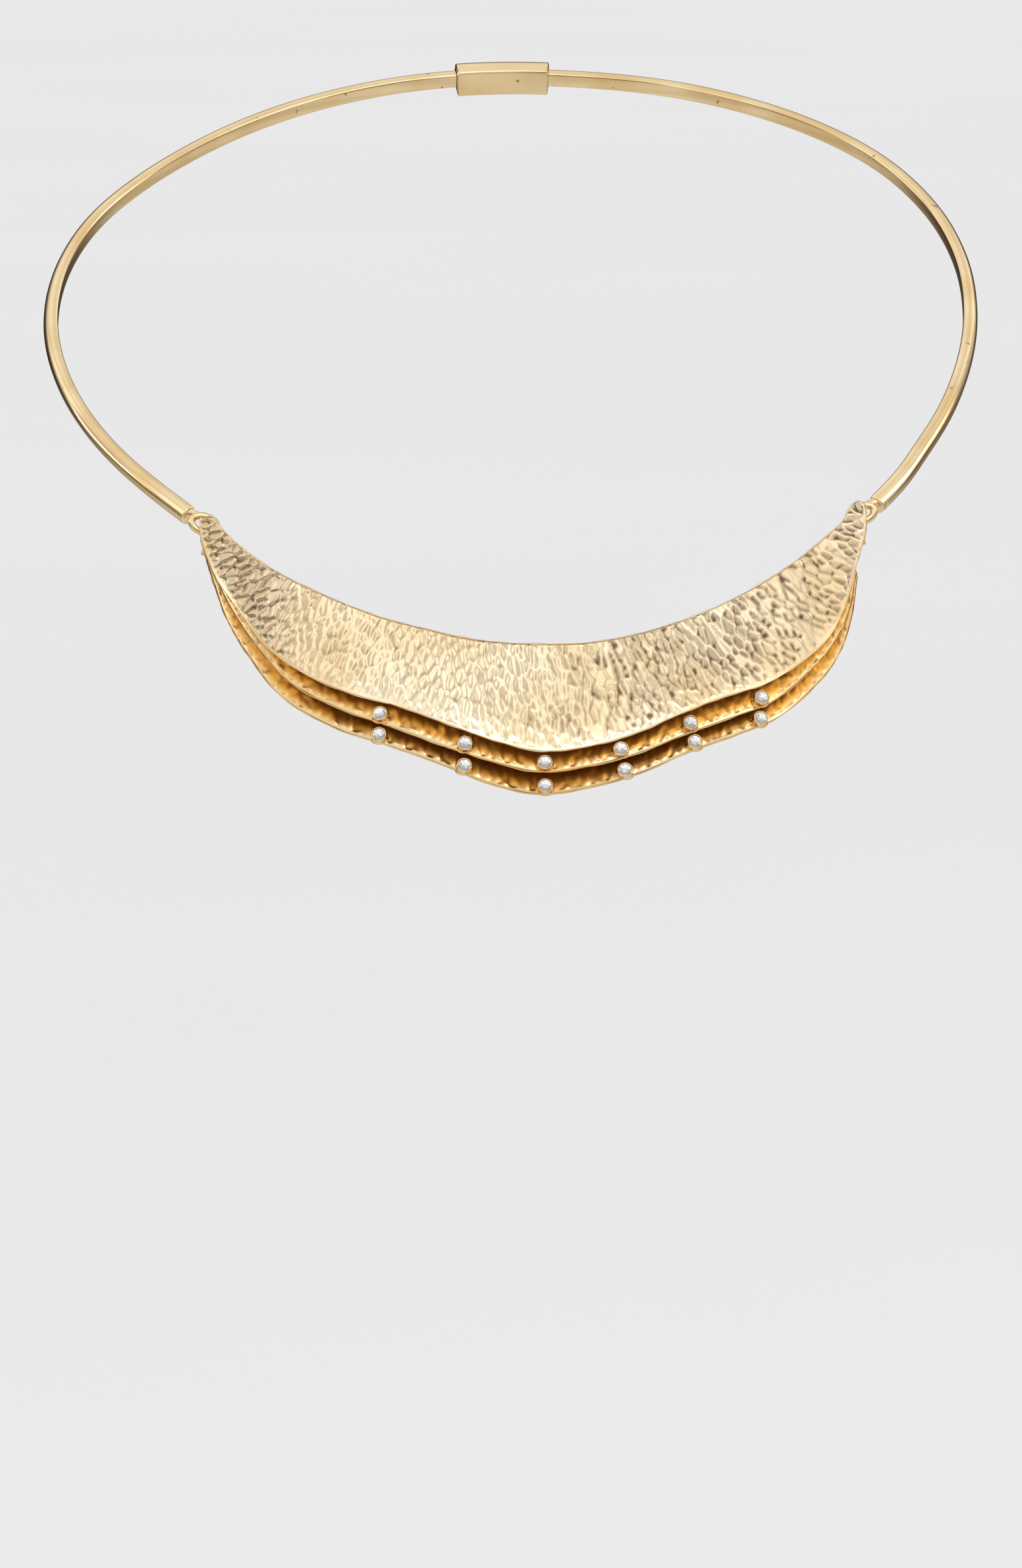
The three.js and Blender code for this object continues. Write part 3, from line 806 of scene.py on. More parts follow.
@dataclass
class Bib:
    """Three layered crescents that hang from the collar's eyes by two folded strips."""

    lean: float = math.radians(22)
    front: float = 68.0
    level: float = -41.0
    curve: float = 82.0
    lug_from: float = 40.0
    lug_turn: float = 0.036
    sheet: float = 0.55
    deep_from: float = 47.0
    deep_over: float = 19.0
    scoop_power: float = 1.6
    inset_over: float = 8.0
    rim: float = 0.26
    engraved: tuple[float, float, float] = (49.0, -23.6, 1.97)
    engraved_wide: float = 0.11
    tallest: float = 20.0
    apart: float = 0.5
    dished_from: float = -8.0
    dished_over: float = 22.0
    flute_dished: float = 0.25
    ridged_from: float = -34.0
    ridged_over: float = 7.0
    flat_from: float = 24.0
    flat_over: float = 12.0
    groove_deep: float = 0.06
    groove_spread: float = 1.7
    even_share: float = 0.7
    shade_from: float = 0.3
    shade_over: float = 1.1
    back_rows: int = 9
    strip: Strip = Strip()

    def face(self, x: Array, z: Array) -> Array:
        """Return the depth of the front surface behind a point of the front view."""
        past = np.maximum(0, np.abs(x) - self.lug_from)
        back = self.curve - np.sqrt(self.curve ** 2 - x ** 2) - self.lug_turn * past ** 2
        return -self.front - math.tan(self.lean) * (self.level - z) + back

    def spans(self, plate: PlateSizes, at: Array) -> tuple[Array, Array, Array, Array]:
        """Return each cross line's row of the table, its span, what shows and where it starts."""
        row = column(CRESCENT, at)
        span = np.hypot(row[..., 2] - row[..., 0], row[..., 3] - row[..., 1])
        shows = np.zeros_like(span) if plate.shows is None else np.maximum(0.05, row[..., plate.shows])
        return row, span, shows, plate.inset * smooth(span / self.inset_over)

    def point(self, plate: PlateSizes, at: Array, v: Array) -> Array:
        """Place a point of a plate's bare front.

        Args:
            plate: its sizes.
            at: fractional row of the crescent's table.
            v: share of the way from its upper to its lower edge.

        Returns:
            The point or points.
        """
        at, v = np.broadcast_arrays(np.asarray(at, dtype=float), np.asarray(v, dtype=float))
        row, span, shows, start = self.spans(plate, at)
        reach = start + (span + shows - start) * v
        x = row[..., 0] + (row[..., 2] - row[..., 0]) * reach / span
        z = row[..., 1] + (row[..., 3] - row[..., 1]) * reach / span
        part = smooth((self.deep_from - np.abs(x)) / self.deep_over)
        behind = plate.tip + (plate.deep - plate.tip) * part
        near = np.maximum(0, 1 - (span + shows - reach) / plate.scoop)
        out = (plate.lip - plate.tip * 0.5) * part * near ** self.scoop_power
        return np.stack([x, self.face(x, z) + behind - np.maximum(0, out), z], axis=-1)

    def normal(self, plate: PlateSizes, at: Array, v: Array, step: float = 0.02) -> Array:
        """Return the way out of a plate's back, square to its surface."""
        at, v = np.broadcast_arrays(np.asarray(at, dtype=float), np.asarray(v, dtype=float))
        below, above = np.minimum(1, v + step), np.maximum(0, v - step)
        across = self.point(plate, at, below) - self.point(plate, at, above)
        ahead, behind = np.minimum(len(CRESCENT) - 1, at + step), np.maximum(0, at - step)
        along = self.point(plate, ahead, v) - self.point(plate, behind, v)
        way = np.cross(along, across)
        way /= np.linalg.norm(way, axis=-1, keepdims=True)
        return way * np.sign(way[..., 1:2])

    def mark_way(self, x: Array, seed: float) -> Array:
        """Return which way a mark runs at x, in radians, with a little scatter."""
        return np.radians(np.interp(x, MARK_WAY_X, MARK_WAY)) + 0.16 * seed

    def throw_marks(self, plate: PlateSizes, marks: Marks, flutes: bool) -> Array:
        """Throw hammer marks over a plate so that they neither pile up nor leave gaps.

        Args:
            plate: its sizes.
            marks: how it is hammered.
            flutes: whether the marks run square to the lower edge.

        Returns:
            Rows of x, z, fractional row, way, half length, half width, tilt and depth.
        """
        draw = np.random.default_rng(marks.seed)
        low, high = plate.first, plate.last
        kept: list[tuple[float, ...]] = []
        places = np.zeros((0, 4))
        for _ in range(marks.strikes):
            at, v = low + (high - low) * draw.random(), draw.random()
            spare = draw.random(5)
            row, span, shows, start = self.spans(plate, np.array(at))
            if draw.random() > (span + shows - start) / self.tallest:
                continue
            x, _, z = self.point(plate, np.array(at), np.array(v))
            size = 0.8 + 0.4 * spare[0]
            way = float(self.mark_way(np.array(x), 2 * spare[1] - 1))
            if flutes:
                way = math.atan2(row[3] - row[1], row[2] - row[0]) + math.pi + 0.25 * (2 * spare[1] - 1)
            long, wide = marks.length / 2 * size, marks.width / 2 * (0.85 + 0.3 * spare[2])
            if len(kept):
                gap_x, gap_z = x - places[:, 0], z - places[:, 1]
                cos, sin = math.cos(way), math.sin(way)
                along = (gap_x * cos + gap_z * sin) / (long + places[:, 2])
                aside = (gap_z * cos - gap_x * sin) / (wide + places[:, 3])
                if np.min(along ** 2 + aside ** 2) < self.apart:
                    continue
            kept.append((x, z, at, way, long, wide, 2 * spare[3] - 1, spare[4]))
            places = np.vstack([places, [x, z, long, wide]])
        return np.array(kept)

    def hammer(self, plate: PlateSizes, marks: Marks, at: Array, v: Array, bare: Array,
               flutes: bool) -> dict[str, Array]:
        """Work out a plate's relief and what the finish reads from it.

        Args:
            plate: its sizes.
            marks: how it is hammered.
            at: fractional rows of the sections.
            v: shares of the points down each section.
            bare: the bare front's points, sections by rows.
            flutes: whether the marks run square to the lower edge.

        Returns:
            Height (at most 0), groove and floor, each sections by rows.
        """
        strikes = self.throw_marks(plate, marks, flutes)
        near, chosen, aside = self._two_nearest(strikes, at, bare)
        land = self._land(bare[..., 0], flutes)
        gap = near[1] - near[0]
        tilt, depth = strikes[:, 6], strikes[:, 7]
        height = self._dents(marks, land, gap, [tilt[index] for index in chosen], aside, depth[chosen[0]])
        # The groove layer cuts the creases into the relief and also masks the brown painted shade in them.
        groove = self._grooves(land, gap, aside[0], tilt[chosen[0]])
        # The engraved line on the lug gets the same painted shade.
        if not flutes:
            groove = np.maximum(groove, self._engraving(bare))
        height = self._soften(height - self.groove_deep * groove)
        groove = np.minimum(self.groove_spread * self._soften(groove), 1.0)
        height = height - height.max()
        stained = smooth(1.7 * depth[chosen[0]] - 0.35) * (1 - 0.6 * land.flat)
        floor = land.dished * smooth(gap / 2.4) * stained
        fade = self._fade(plate, marks, at, v)
        level = height.mean()
        return {"height": level + (height - level) * fade, "groove": groove * fade, "floor": floor * fade}

    def _land(self, x: Array, flutes: bool) -> Land:
        """Return how the marks change with x; behind the front plate they are all alike."""
        if flutes:
            none = np.zeros(x.shape)
            return Land(np.full(x.shape, self.flute_dished), none, none)
        return Land(smooth((x - self.dished_from) / self.dished_over),
                    smooth((self.ridged_from - x) / self.ridged_over),
                    smooth((x - self.flat_from) / self.flat_over))

    def _dents(self, marks: Marks, land: Land, gap: Array, tilts: list[Array], aside: list[Array],
               depth: Array) -> Array:
        """Return the marks' height: a pad in each, leaning across and blended with its neighbour.

        Args:
            marks: how the plate is hammered.
            land: how the marks change over it.
            gap: how much nearer the nearest mark is than the second.
            tilts: the lean of the nearest mark and of the second, -1 to 1.
            aside: the place across each of the two.
            depth: the nearest mark's depth, 0 to 1.

        Returns:
            The height.
        """
        leans = [np.clip(across, -1.3, 1.3) * (0.6 + 0.4 * tilt) for tilt, across in zip(tilts, aside)]
        own = 0.5 + 0.5 * smooth(gap / (2.4 - 0.9 * land.dished))
        lean = leans[0] * own + leans[1] * (1 - own)
        pad = smooth(gap / 3.0) * (0.6 + 0.7 * depth)
        strength = (0.75 + 1.0 * land.ridged) * (1 - 0.35 * land.flat)
        return (marks.depth * (1 - 0.6 * land.dished) * pad
                - marks.step * lean * (1 + 0.3 * land.dished)) * strength

    def _grooves(self, land: Land, gap: Array, across: Array, tilt: Array) -> Array:
        """Return the creases along one side of some of the marks, which the finish darkens with painted
        shade.

        Args:
            land: how the marks change over the plate.
            gap: how much nearer the nearest mark is than the second.
            across: the place across the nearest mark.
            tilt: its lean, which also chooses the marks that have a crease.

        Returns:
            How deep in a crease each point lies, 0 to 1.
        """
        line = np.exp(-((gap - 0.3) / (0.7 + 0.5 * land.dished)) ** 2) * smooth((across - 0.05) / 0.5)
        often = np.clip(0.3 + 0.6 * land.dished + 0.6 * land.ridged, 0, 1)
        chosen = smooth((tilt * 0.5 + 0.5 - 1 + often) / 0.3)
        strong = 0.45 + 0.55 * land.dished + 0.5 * land.ridged
        return np.clip(line * chosen * strong, 0.16 * land.ridged, 1.0)

    def _engraving(self, bare: Array) -> Array:
        """Return the curved line cut into the lug at the wearer's left."""
        x, z, radius = self.engraved
        away = np.hypot(bare[..., 0] - x, bare[..., 2] - z)
        return np.exp(-((away - radius) / self.engraved_wide) ** 2)

    def _fade(self, plate: PlateSizes, marks: Marks, at: Array, v: Array) -> Array:
        """Return the share of the relief that is left near the rims and the tips."""
        _, span, shows, start = self.spans(plate, at)
        tall = (span + shows - start)[:, None]
        lower = smooth(((1 - v[None, :]) * tall - 0.15) / marks.fade)
        upper = smooth((v[None, :] * tall + 0.06) / 0.35)
        ends = smooth(np.minimum(at - at[0], at[-1] - at)[:, None] * 1.5 + 0.2)
        return lower * upper * ends

    @staticmethod
    def _soften(values: Array) -> Array:
        """Ease the steps between neighbouring points, once along the plate and three times down it."""
        for axis in (0, 1, 1, 1):
            swapped = np.moveaxis(values, axis, 0)
            padded = np.concatenate([swapped[:1], swapped, swapped[-1:]])
            values = np.moveaxis((padded[:-2] + 2 * padded[1:-1] + padded[2:]) / 4, 0, axis)
        return values

    def _evenly(self, plate: PlateSizes) -> Array:
        """Return the fractional rows of a plate's sections, nearly evenly apart along its length."""
        rows = np.linspace(plate.first, plate.last, 4 * plate.sections)
        middle = self.point(plate, rows, np.full(rows.shape, 0.5))
        gone = np.concatenate([[0.0], np.cumsum(np.linalg.norm(np.diff(middle, axis=0), axis=1))])
        even = np.interp(np.linspace(0, gone[-1], plate.sections), gone, rows)
        plain = np.linspace(plate.first, plate.last, plate.sections)
        return self.even_share * even + (1 - self.even_share) * plain

    def _two_nearest(self, strikes: Array, at: Array,
                     bare: Array) -> tuple[list[Array], list[Array], list[Array]]:
        """Find the two marks that each point lies nearest to, in the marks' own long metric.

        Args:
            strikes: the marks.
            at: fractional rows of the sections.
            bare: the bare front's points, sections by rows.

        Returns:
            For the nearest and the second: how far, which mark, and the place across it.
        """
        shape = bare.shape[:2]
        near = [np.full(shape, 9.0), np.full(shape, 9.0)]
        chosen = [np.zeros(shape, dtype=int), np.zeros(shape, dtype=int)]
        aside = [np.zeros(shape), np.zeros(shape)]
        per_section = np.linalg.norm(np.diff(bare[:, shape[1] // 2], axis=0), axis=1).mean()
        for index, (x, z, row, way, long, wide, _, _) in enumerate(strikes):
            middle = int(np.searchsorted(at, row))
            half = int(3.6 * long / per_section) + 3
            part = slice(max(0, middle - half), min(len(at), middle + half))
            gap_x, gap_z = bare[part, :, 0] - x, bare[part, :, 2] - z
            along = (gap_x * math.cos(way) + gap_z * math.sin(way)) / long
            across = (gap_z * math.cos(way) - gap_x * math.sin(way)) / wide
            far = along ** 2 + across ** 2 * (1 + 0.5 * along ** 2)
            best, other = far < near[0][part], far < near[1][part]
            for store, value in ((near, far), (chosen, index), (aside, across)):
                store[1][part] = np.where(best, store[0][part], np.where(other, value, store[1][part]))
                store[0][part] = np.where(best, value, store[0][part])
        return near, chosen, aside

    def plate(self, layer: Layer, marks: Marks, flutes: bool, shell: Shell) -> dict[str, Array]:
        """Add a plate to a shell: its hammered front, rounded rims, plain back and eased tips.

        Args:
            layer: which plate.
            marks: how it is hammered.
            flutes: whether the marks run square to the lower edge.
            shell: what it is added to.

        Returns:
            The layers that its finish reads, one value a point.
        """
        plate = layer.value
        at = self._evenly(plate)
        v = 1 - (1 - np.linspace(0, 1, plate.rows)) ** plate.crowding
        _, span, shows, start = self.spans(plate, at)
        tall = span + shows - start
        radius = np.minimum(self.rim, 0.25 * tall)
        inset = (radius / tall)[:, None]
        share = inset + (1 - 2 * inset) * v[None, :]
        rows_at = np.broadcast_to(at[:, None], share.shape)
        bare = self.point(plate, rows_at, share)
        out = self.normal(plate, rows_at, share)
        cast = self.hammer(plate, marks, at, v, bare, flutes)
        draw = np.random.default_rng(marks.seed + 7)
        waves = ((0.05, 3.1), (0.035, 7.3), (0.025, 13.0))
        wave = sum(size * np.sin(at * often + draw.random() * 6) for size, often in waves)
        front = bare + out * (-cast["height"])[..., None]
        rings = [front[:, j] for j in range(plate.rows)]
        down = bare[:, -1] - bare[:, -2]
        down /= np.linalg.norm(down, axis=-1, keepdims=True)
        up = bare[:, 0] - bare[:, 1]
        up /= np.linalg.norm(up, axis=-1, keepdims=True)
        half = self.sheet / 2
        low_middle = bare[:, -1] + out[:, -1] * half
        top_middle = bare[:, 0] + out[:, 0] * half
        turns = np.radians([26, 52, 78, 102, 128, 154])
        for turn in turns:
            reach = (radius * math.sin(turn) + wave * math.sin(turn) ** 2)[:, None]
            rings.append(low_middle - out[:, -1] * half * math.cos(turn) + down * reach)
        for j in np.linspace(plate.rows - 1, 0, self.back_rows).astype(int):
            rings.append(bare[:, j] + out[:, j] * self.sheet)
        for turn in turns:
            reach = (radius * math.sin(turn) + wave * math.sin(turn) ** 2)[:, None]
            rings.append(top_middle + out[:, 0] * half * math.cos(turn) + up * reach)
        sections = np.stack(rings, axis=1)
        first, last = self._eased(sections, -1), self._eased(sections, 1)
        whole = np.concatenate([first, sections, last])
        shell.loft(whole)
        spare = whole.shape[1] - plate.rows
        layers = {}
        for key in ("groove", "floor"):
            cells = np.pad(cast[key], ((len(first), len(last)), (0, spare)))
            layers[key] = cells.ravel()
        # This layer masks the amber painted shade.
        shade = np.broadcast_to(self._shade(plate, tall, share), share.shape)
        layers["shade"] = np.pad(shade, ((len(first), len(last)), (0, spare)), mode="edge").ravel()
        return layers

    def _shade(self, plate: PlateSizes, tall: Array, share: Array) -> Array:
        """Return the mask of the amber painted shade: how deep a point lies under the plate in front, 1 at
        the top, 0 at the lip.
        """
        if plate.shows is None:
            return np.zeros_like(share)
        below = (1 - share) * tall[:, None]
        return smooth((below - self.shade_from) / self.shade_over)

    def _eased(self, sections: Array, way: int) -> Array:
        """Return a few shrinking sections that round off a plate's tip.

        Args:
            sections: the plate's sections.
            way: -1 for its first end, 1 for its last.

        Returns:
            The added sections, in the order of the loft.
        """
        end, inner = (sections[0], sections[2]) if way < 0 else (sections[-1], sections[-3])
        middle = end.mean(axis=0)
        outward = middle - inner.mean(axis=0)
        outward /= np.linalg.norm(outward)
        made = [middle + (end - middle) * math.cos(turn) ** 0.7 + outward * 0.24 * math.sin(turn)
                for turn in np.radians([25, 48, 68, 82])]
        return np.array(made[::-1] if way < 0 else made)

    def hook(self, side: int, collar: Collar) -> Array:
        """Return the folded strip that goes over an eye's lower wire, its edges eased.

        Args:
            side: 1 or -1.
            collar: the collar, for its eyes.

        Returns:
            Rings of points along the strip.
        """
        sizes = self.strip
        middle = sizes.inner + sizes.thick / 2
        sin, cos = math.sin(collar.droop), math.cos(collar.droop)
        lowest = math.hypot(collar.eye_long * sin, collar.eye_short * cos)
        shift = (collar.eye_long ** 2 - collar.eye_short ** 2) * sin * cos / lowest
        line = [(1.0, -sizes.root), (1.0, -sizes.root / 2)]
        line += [(math.cos(t), math.sin(t)) for t in np.radians(np.arange(0, 181, 9))]
        line += [(-1.0, -sizes.leg * share) for share in (0.25, 0.5, 0.75, 0.96, 1.0)]
        corner = np.radians(np.arange(0, 360, 22.5) + 11.25)
        ease = sizes.ease
        wide = np.sign(np.cos(corner)) * (sizes.half - ease) + ease * np.cos(corner)
        thick = np.sign(np.sin(corner)) * (sizes.thick / 2 - ease) + ease * np.sin(corner)
        rings = []
        for number, (forward, up) in enumerate(line):
            shrink = sizes.end if number == len(line) - 1 else 1.0
            radius = thick * shrink + middle
            bend, straight = (up, 0.0) if up > 0 else (0.0, up)
            across = wide * shrink - shift + sizes.aside
            rings.append(collar.eye_point(side, across, radius * bend + straight - lowest,
                                          radius * forward - sizes.set_back))
        return np.array(rings)

    def build_front(self, collar: Collar, hammered: bpy.types.Material) -> bpy.types.Object:
        """Build the front plate with its two hooks."""
        shell = Shell()
        layers = self.plate(Layer.FRONT, Marks(seed=41), False, shell)
        for side in Side:
            shell.loft(self.hook(side.value, collar))
        spare = shell.count - len(layers["groove"])
        layers = {key: np.pad(values, (0, spare)) for key, values in layers.items()}
        piece = shell.build("front_crescent", [hammered], layers, sharp=60)
        join_frame(piece, Body.BIB, Slot.HAMMERED, "front_plate")
        return piece


@dataclass(frozen=True)
class Seat:
    """Where a setting stands on a plate, and which way it points."""

    foot: Array
    axis: Array


@dataclass
class StoneRow:
    """A plate behind the front one, its six tube settings and their stones."""

    layer: Layer
    name: str
    seats_x: tuple[float, ...]
    marks: Marks
    rise: float = math.radians(27)
    outer: float = 1.1
    bore: float = 0.99
    high: float = 0.95
    floor: float = 0.25
    sunk: float = 0.4
    girdle: float = 0.9
    table: float = 0.5
    table_high: float = 1.08
    waist: float = 0.82
    culet_high: float = 0.34
    cut: int = 8

    def seat(self, bib: Bib, x: float) -> Seat:
        """Find a setting's seat above the plate's lower edge at x."""
        plate = self.layer.value

        def share(at: float) -> float:
            """Return v at the height of a setting's foot."""
            row, span, shows, _ = bib.spans(plate, np.array(at))
            return float(1 - plate.foot / (span + row[plate.shows] - plate.inset))

        low, high = plate.first, plate.last
        for _ in range(40):
            at = (low + high) / 2
            if bib.point(plate, np.array(at), np.array(share(at)))[0] < x:
                low = at
            else:
                high = at
        axis = -bib.normal(plate, np.array(low), np.array(share(low)))
        axis[2] = math.tan(self.rise) * math.hypot(axis[0], axis[1])
        return Seat(bib.point(plate, np.array(low), np.array(share(low))), axis / np.linalg.norm(axis))

    def stand(self, seat: Seat, points: Array) -> Array:
        """Stand points given as (across, across, height) on a seat."""
        aside = np.cross(seat.axis, [0.0, 0.0, 1.0])
        aside /= np.linalg.norm(aside)
        third = np.cross(seat.axis, aside)
        points = np.asarray(points, dtype=float)
        across, along, high = points[..., 0:1], points[..., 1:2], points[..., 2:3]
        return seat.foot + across * aside + along * third + high * seat.axis

    def tube(self, seat: Seat, shell: Shell, draw: np.random.Generator) -> None:
        """Add one setting: a soldered tube with a thin eased rim.

        Args:
            seat: where it stands.
            shell: what it is added to.
            draw: random numbers for the solder's unevenness.
        """
        outer, bore, high = self.outer, self.bore, self.high
        solder = [(0.001, -self.sunk), (outer * 0.9, -self.sunk), (outer + 0.24, -0.12),
                  (outer + 0.12, 0.02), (outer + 0.03, 0.14), (outer, 0.28)]
        rim = [(outer, high - 0.07), (outer - 0.015, high - 0.025), (outer - 0.05, high),
               (bore + 0.02, high - 0.005), (bore, high - 0.03)]
        profile = solder + rim + [(bore - 0.01, self.floor), (0.001, self.floor)]
        around = np.linspace(0, 2 * math.pi, 48, endpoint=False)
        swell = 1 + 0.012 * np.sin(around * 2 + draw.random() * 6)
        swell = swell + 0.006 * np.sin(around * 5 + draw.random() * 6)
        rings = []
        for radius, height in profile:
            foot = 1 + 0.06 * np.sin(around * 3 + draw.random() * 0.3) if height < 0.1 else swell
            reach = radius * foot
            rings.append(np.stack([reach * np.cos(around), reach * np.sin(around),
                                   np.full_like(around, height)], axis=-1))
        shell.loft(self.stand(seat, np.array(rings)))

    def stone(self, seat: Seat, turn: float) -> Shell:
        """Cut one round brilliant: a clear crown over a foiled pavilion.

        Args:
            seat: where it stands.
            turn: how far it is turned in its setting, in radians.

        Returns:
            A shell with glass (0) and foil (1) faces.
        """
        cut, step = self.cut, 2 * math.pi / self.cut

        def circle(radius: float, height: float, many: int, offset: float = 0.0) -> list[list[float]]:
            """Return points round the stone's axis."""
            turns = [turn + offset + i * 2 * math.pi / many for i in range(many)]
            return [[radius * math.cos(t), radius * math.sin(t), height] for t in turns]

        waist_low = self.waist - 0.05
        points = circle(self.table, self.table_high, cut) + circle(0.71, 0.985, cut, step / 2)
        points += circle(self.girdle, self.waist, 2 * cut) + circle(self.girdle, waist_low, 2 * cut)
        points += circle(0.42, 0.56, cut, step / 2) + [[0.0, 0.0, self.culet_high]]
        star, rim, low, deep, culet = cut, 2 * cut, 4 * cut, 6 * cut, 7 * cut
        glass: list[list[int]] = [list(range(cut))]
        foil: list[list[int]] = []
        for k in range(cut):
            after, before = (k + 1) % cut, (k - 1) % cut
            r = [rim + (2 * k + i) % (2 * cut) for i in range(3)]
            b = [low + (2 * k + i) % (2 * cut) for i in range(3)]
            glass += [[after, k, star + k], [k, star + before, r[0], star + k],
                      [star + k, r[0], r[1]], [star + k, r[1], r[2]]]
            glass += [[r[0], b[0], b[1], r[1]], [r[1], b[1], b[2], r[2]]]
            foil += [[deep + k, b[1], b[0]], [deep + k, b[2], b[1]], [deep + k, b[0], deep + before, culet]]
        shell = Shell()
        placed = self.stand(seat, np.array(points))
        shell.add(placed, [self._outward(placed, f) for f in glass], 0)
        shell.faces.extend(tuple(self._outward(placed, f)) for f in foil)
        shell.finish_of.extend([1] * len(foil))
        return shell

    def _outward(self, points: Array, face: Sequence[int]) -> list[int]:
        """Turn a stone's face to look away from the stone's middle."""
        corners = points[list(face)]
        way = np.cross(corners[1] - corners[0], corners[2] - corners[0])
        gap = corners.mean(axis=0) - points.mean(axis=0)
        return list(face) if float(way @ gap) > 0 else list(face)[::-1]

    def build(self, bib: Bib, hammered: bpy.types.Material, glass: bpy.types.Material,
              foil: bpy.types.Material) -> None:
        """Build the plate with its settings, then a stone in each.

        Args:
            bib: the surfaces that it lies on.
            hammered: the plate's finish.
            glass: the stones' finish.
            foil: the stones' backing.
        """
        draw = np.random.default_rng(self.marks.seed + 100)
        shell = Shell()
        layers = bib.plate(self.layer, self.marks, True, shell)
        seats = [self.seat(bib, x) for x in self.seats_x]
        for seat in seats:
            self.tube(seat, shell, draw)
        spare = shell.count - len(layers["groove"])
        layers = {key: np.pad(values, (0, spare)) for key, values in layers.items()}
        piece = shell.build(self.name + "_crescent", [hammered], layers, sharp=60)
        join_frame(piece, Body.BIB, Slot.HAMMERED, self.name + "_plate")
        for number, seat in enumerate(seats, start=1):
            cut = self.stone(seat, draw.random())
            made = cut.build(f"{self.name}_stone_{number}", [glass, foil], sharp=5)
            join_frame(made, Body.BIB, Slot.CRYSTAL, f"{self.name}_crystal_{number}")


# ------------------------------------------------------------------ studio
@dataclass(frozen=True)
class SoftBox:
    """A soft light that faces the necklace.

    Attributes:
        name: its name.
        turn: degrees from the front, + to the wearer's left.
        rise: degrees above the horizon.
        away: distance in metres.
        size: width and height in metres.
        glow: how bright its face is; 1 is as bright as white paper in the frame.
        tint: its colour.
    """

    name: str
    turn: float
    rise: float
    away: float
    size: tuple[float, float]
    glow: float
    tint: tuple[float, float, float] = (1.0, 1.0, 1.0)

    def build(self, target: Vector) -> None:
        """Hang the light and aim it."""
        data = bpy.data.lights.new(self.name, "AREA")
        data.shape, data.color = "RECTANGLE", self.tint
        data.size, data.size_y = self.size
        data.energy = self.glow * math.pi * self.size[0] * self.size[1]
        lamp = bpy.data.objects.new(self.name, data)
        turn, rise = math.radians(self.turn), math.radians(self.rise)
        way = Vector((math.sin(turn) * math.cos(rise), -math.cos(turn) * math.cos(rise), math.sin(rise)))
        lamp.location = target + way * self.away
        lamp.rotation_mode = "QUATERNION"
        lamp.rotation_quaternion = way.to_track_quat("Z", "Y")
        bpy.context.collection.objects.link(lamp)


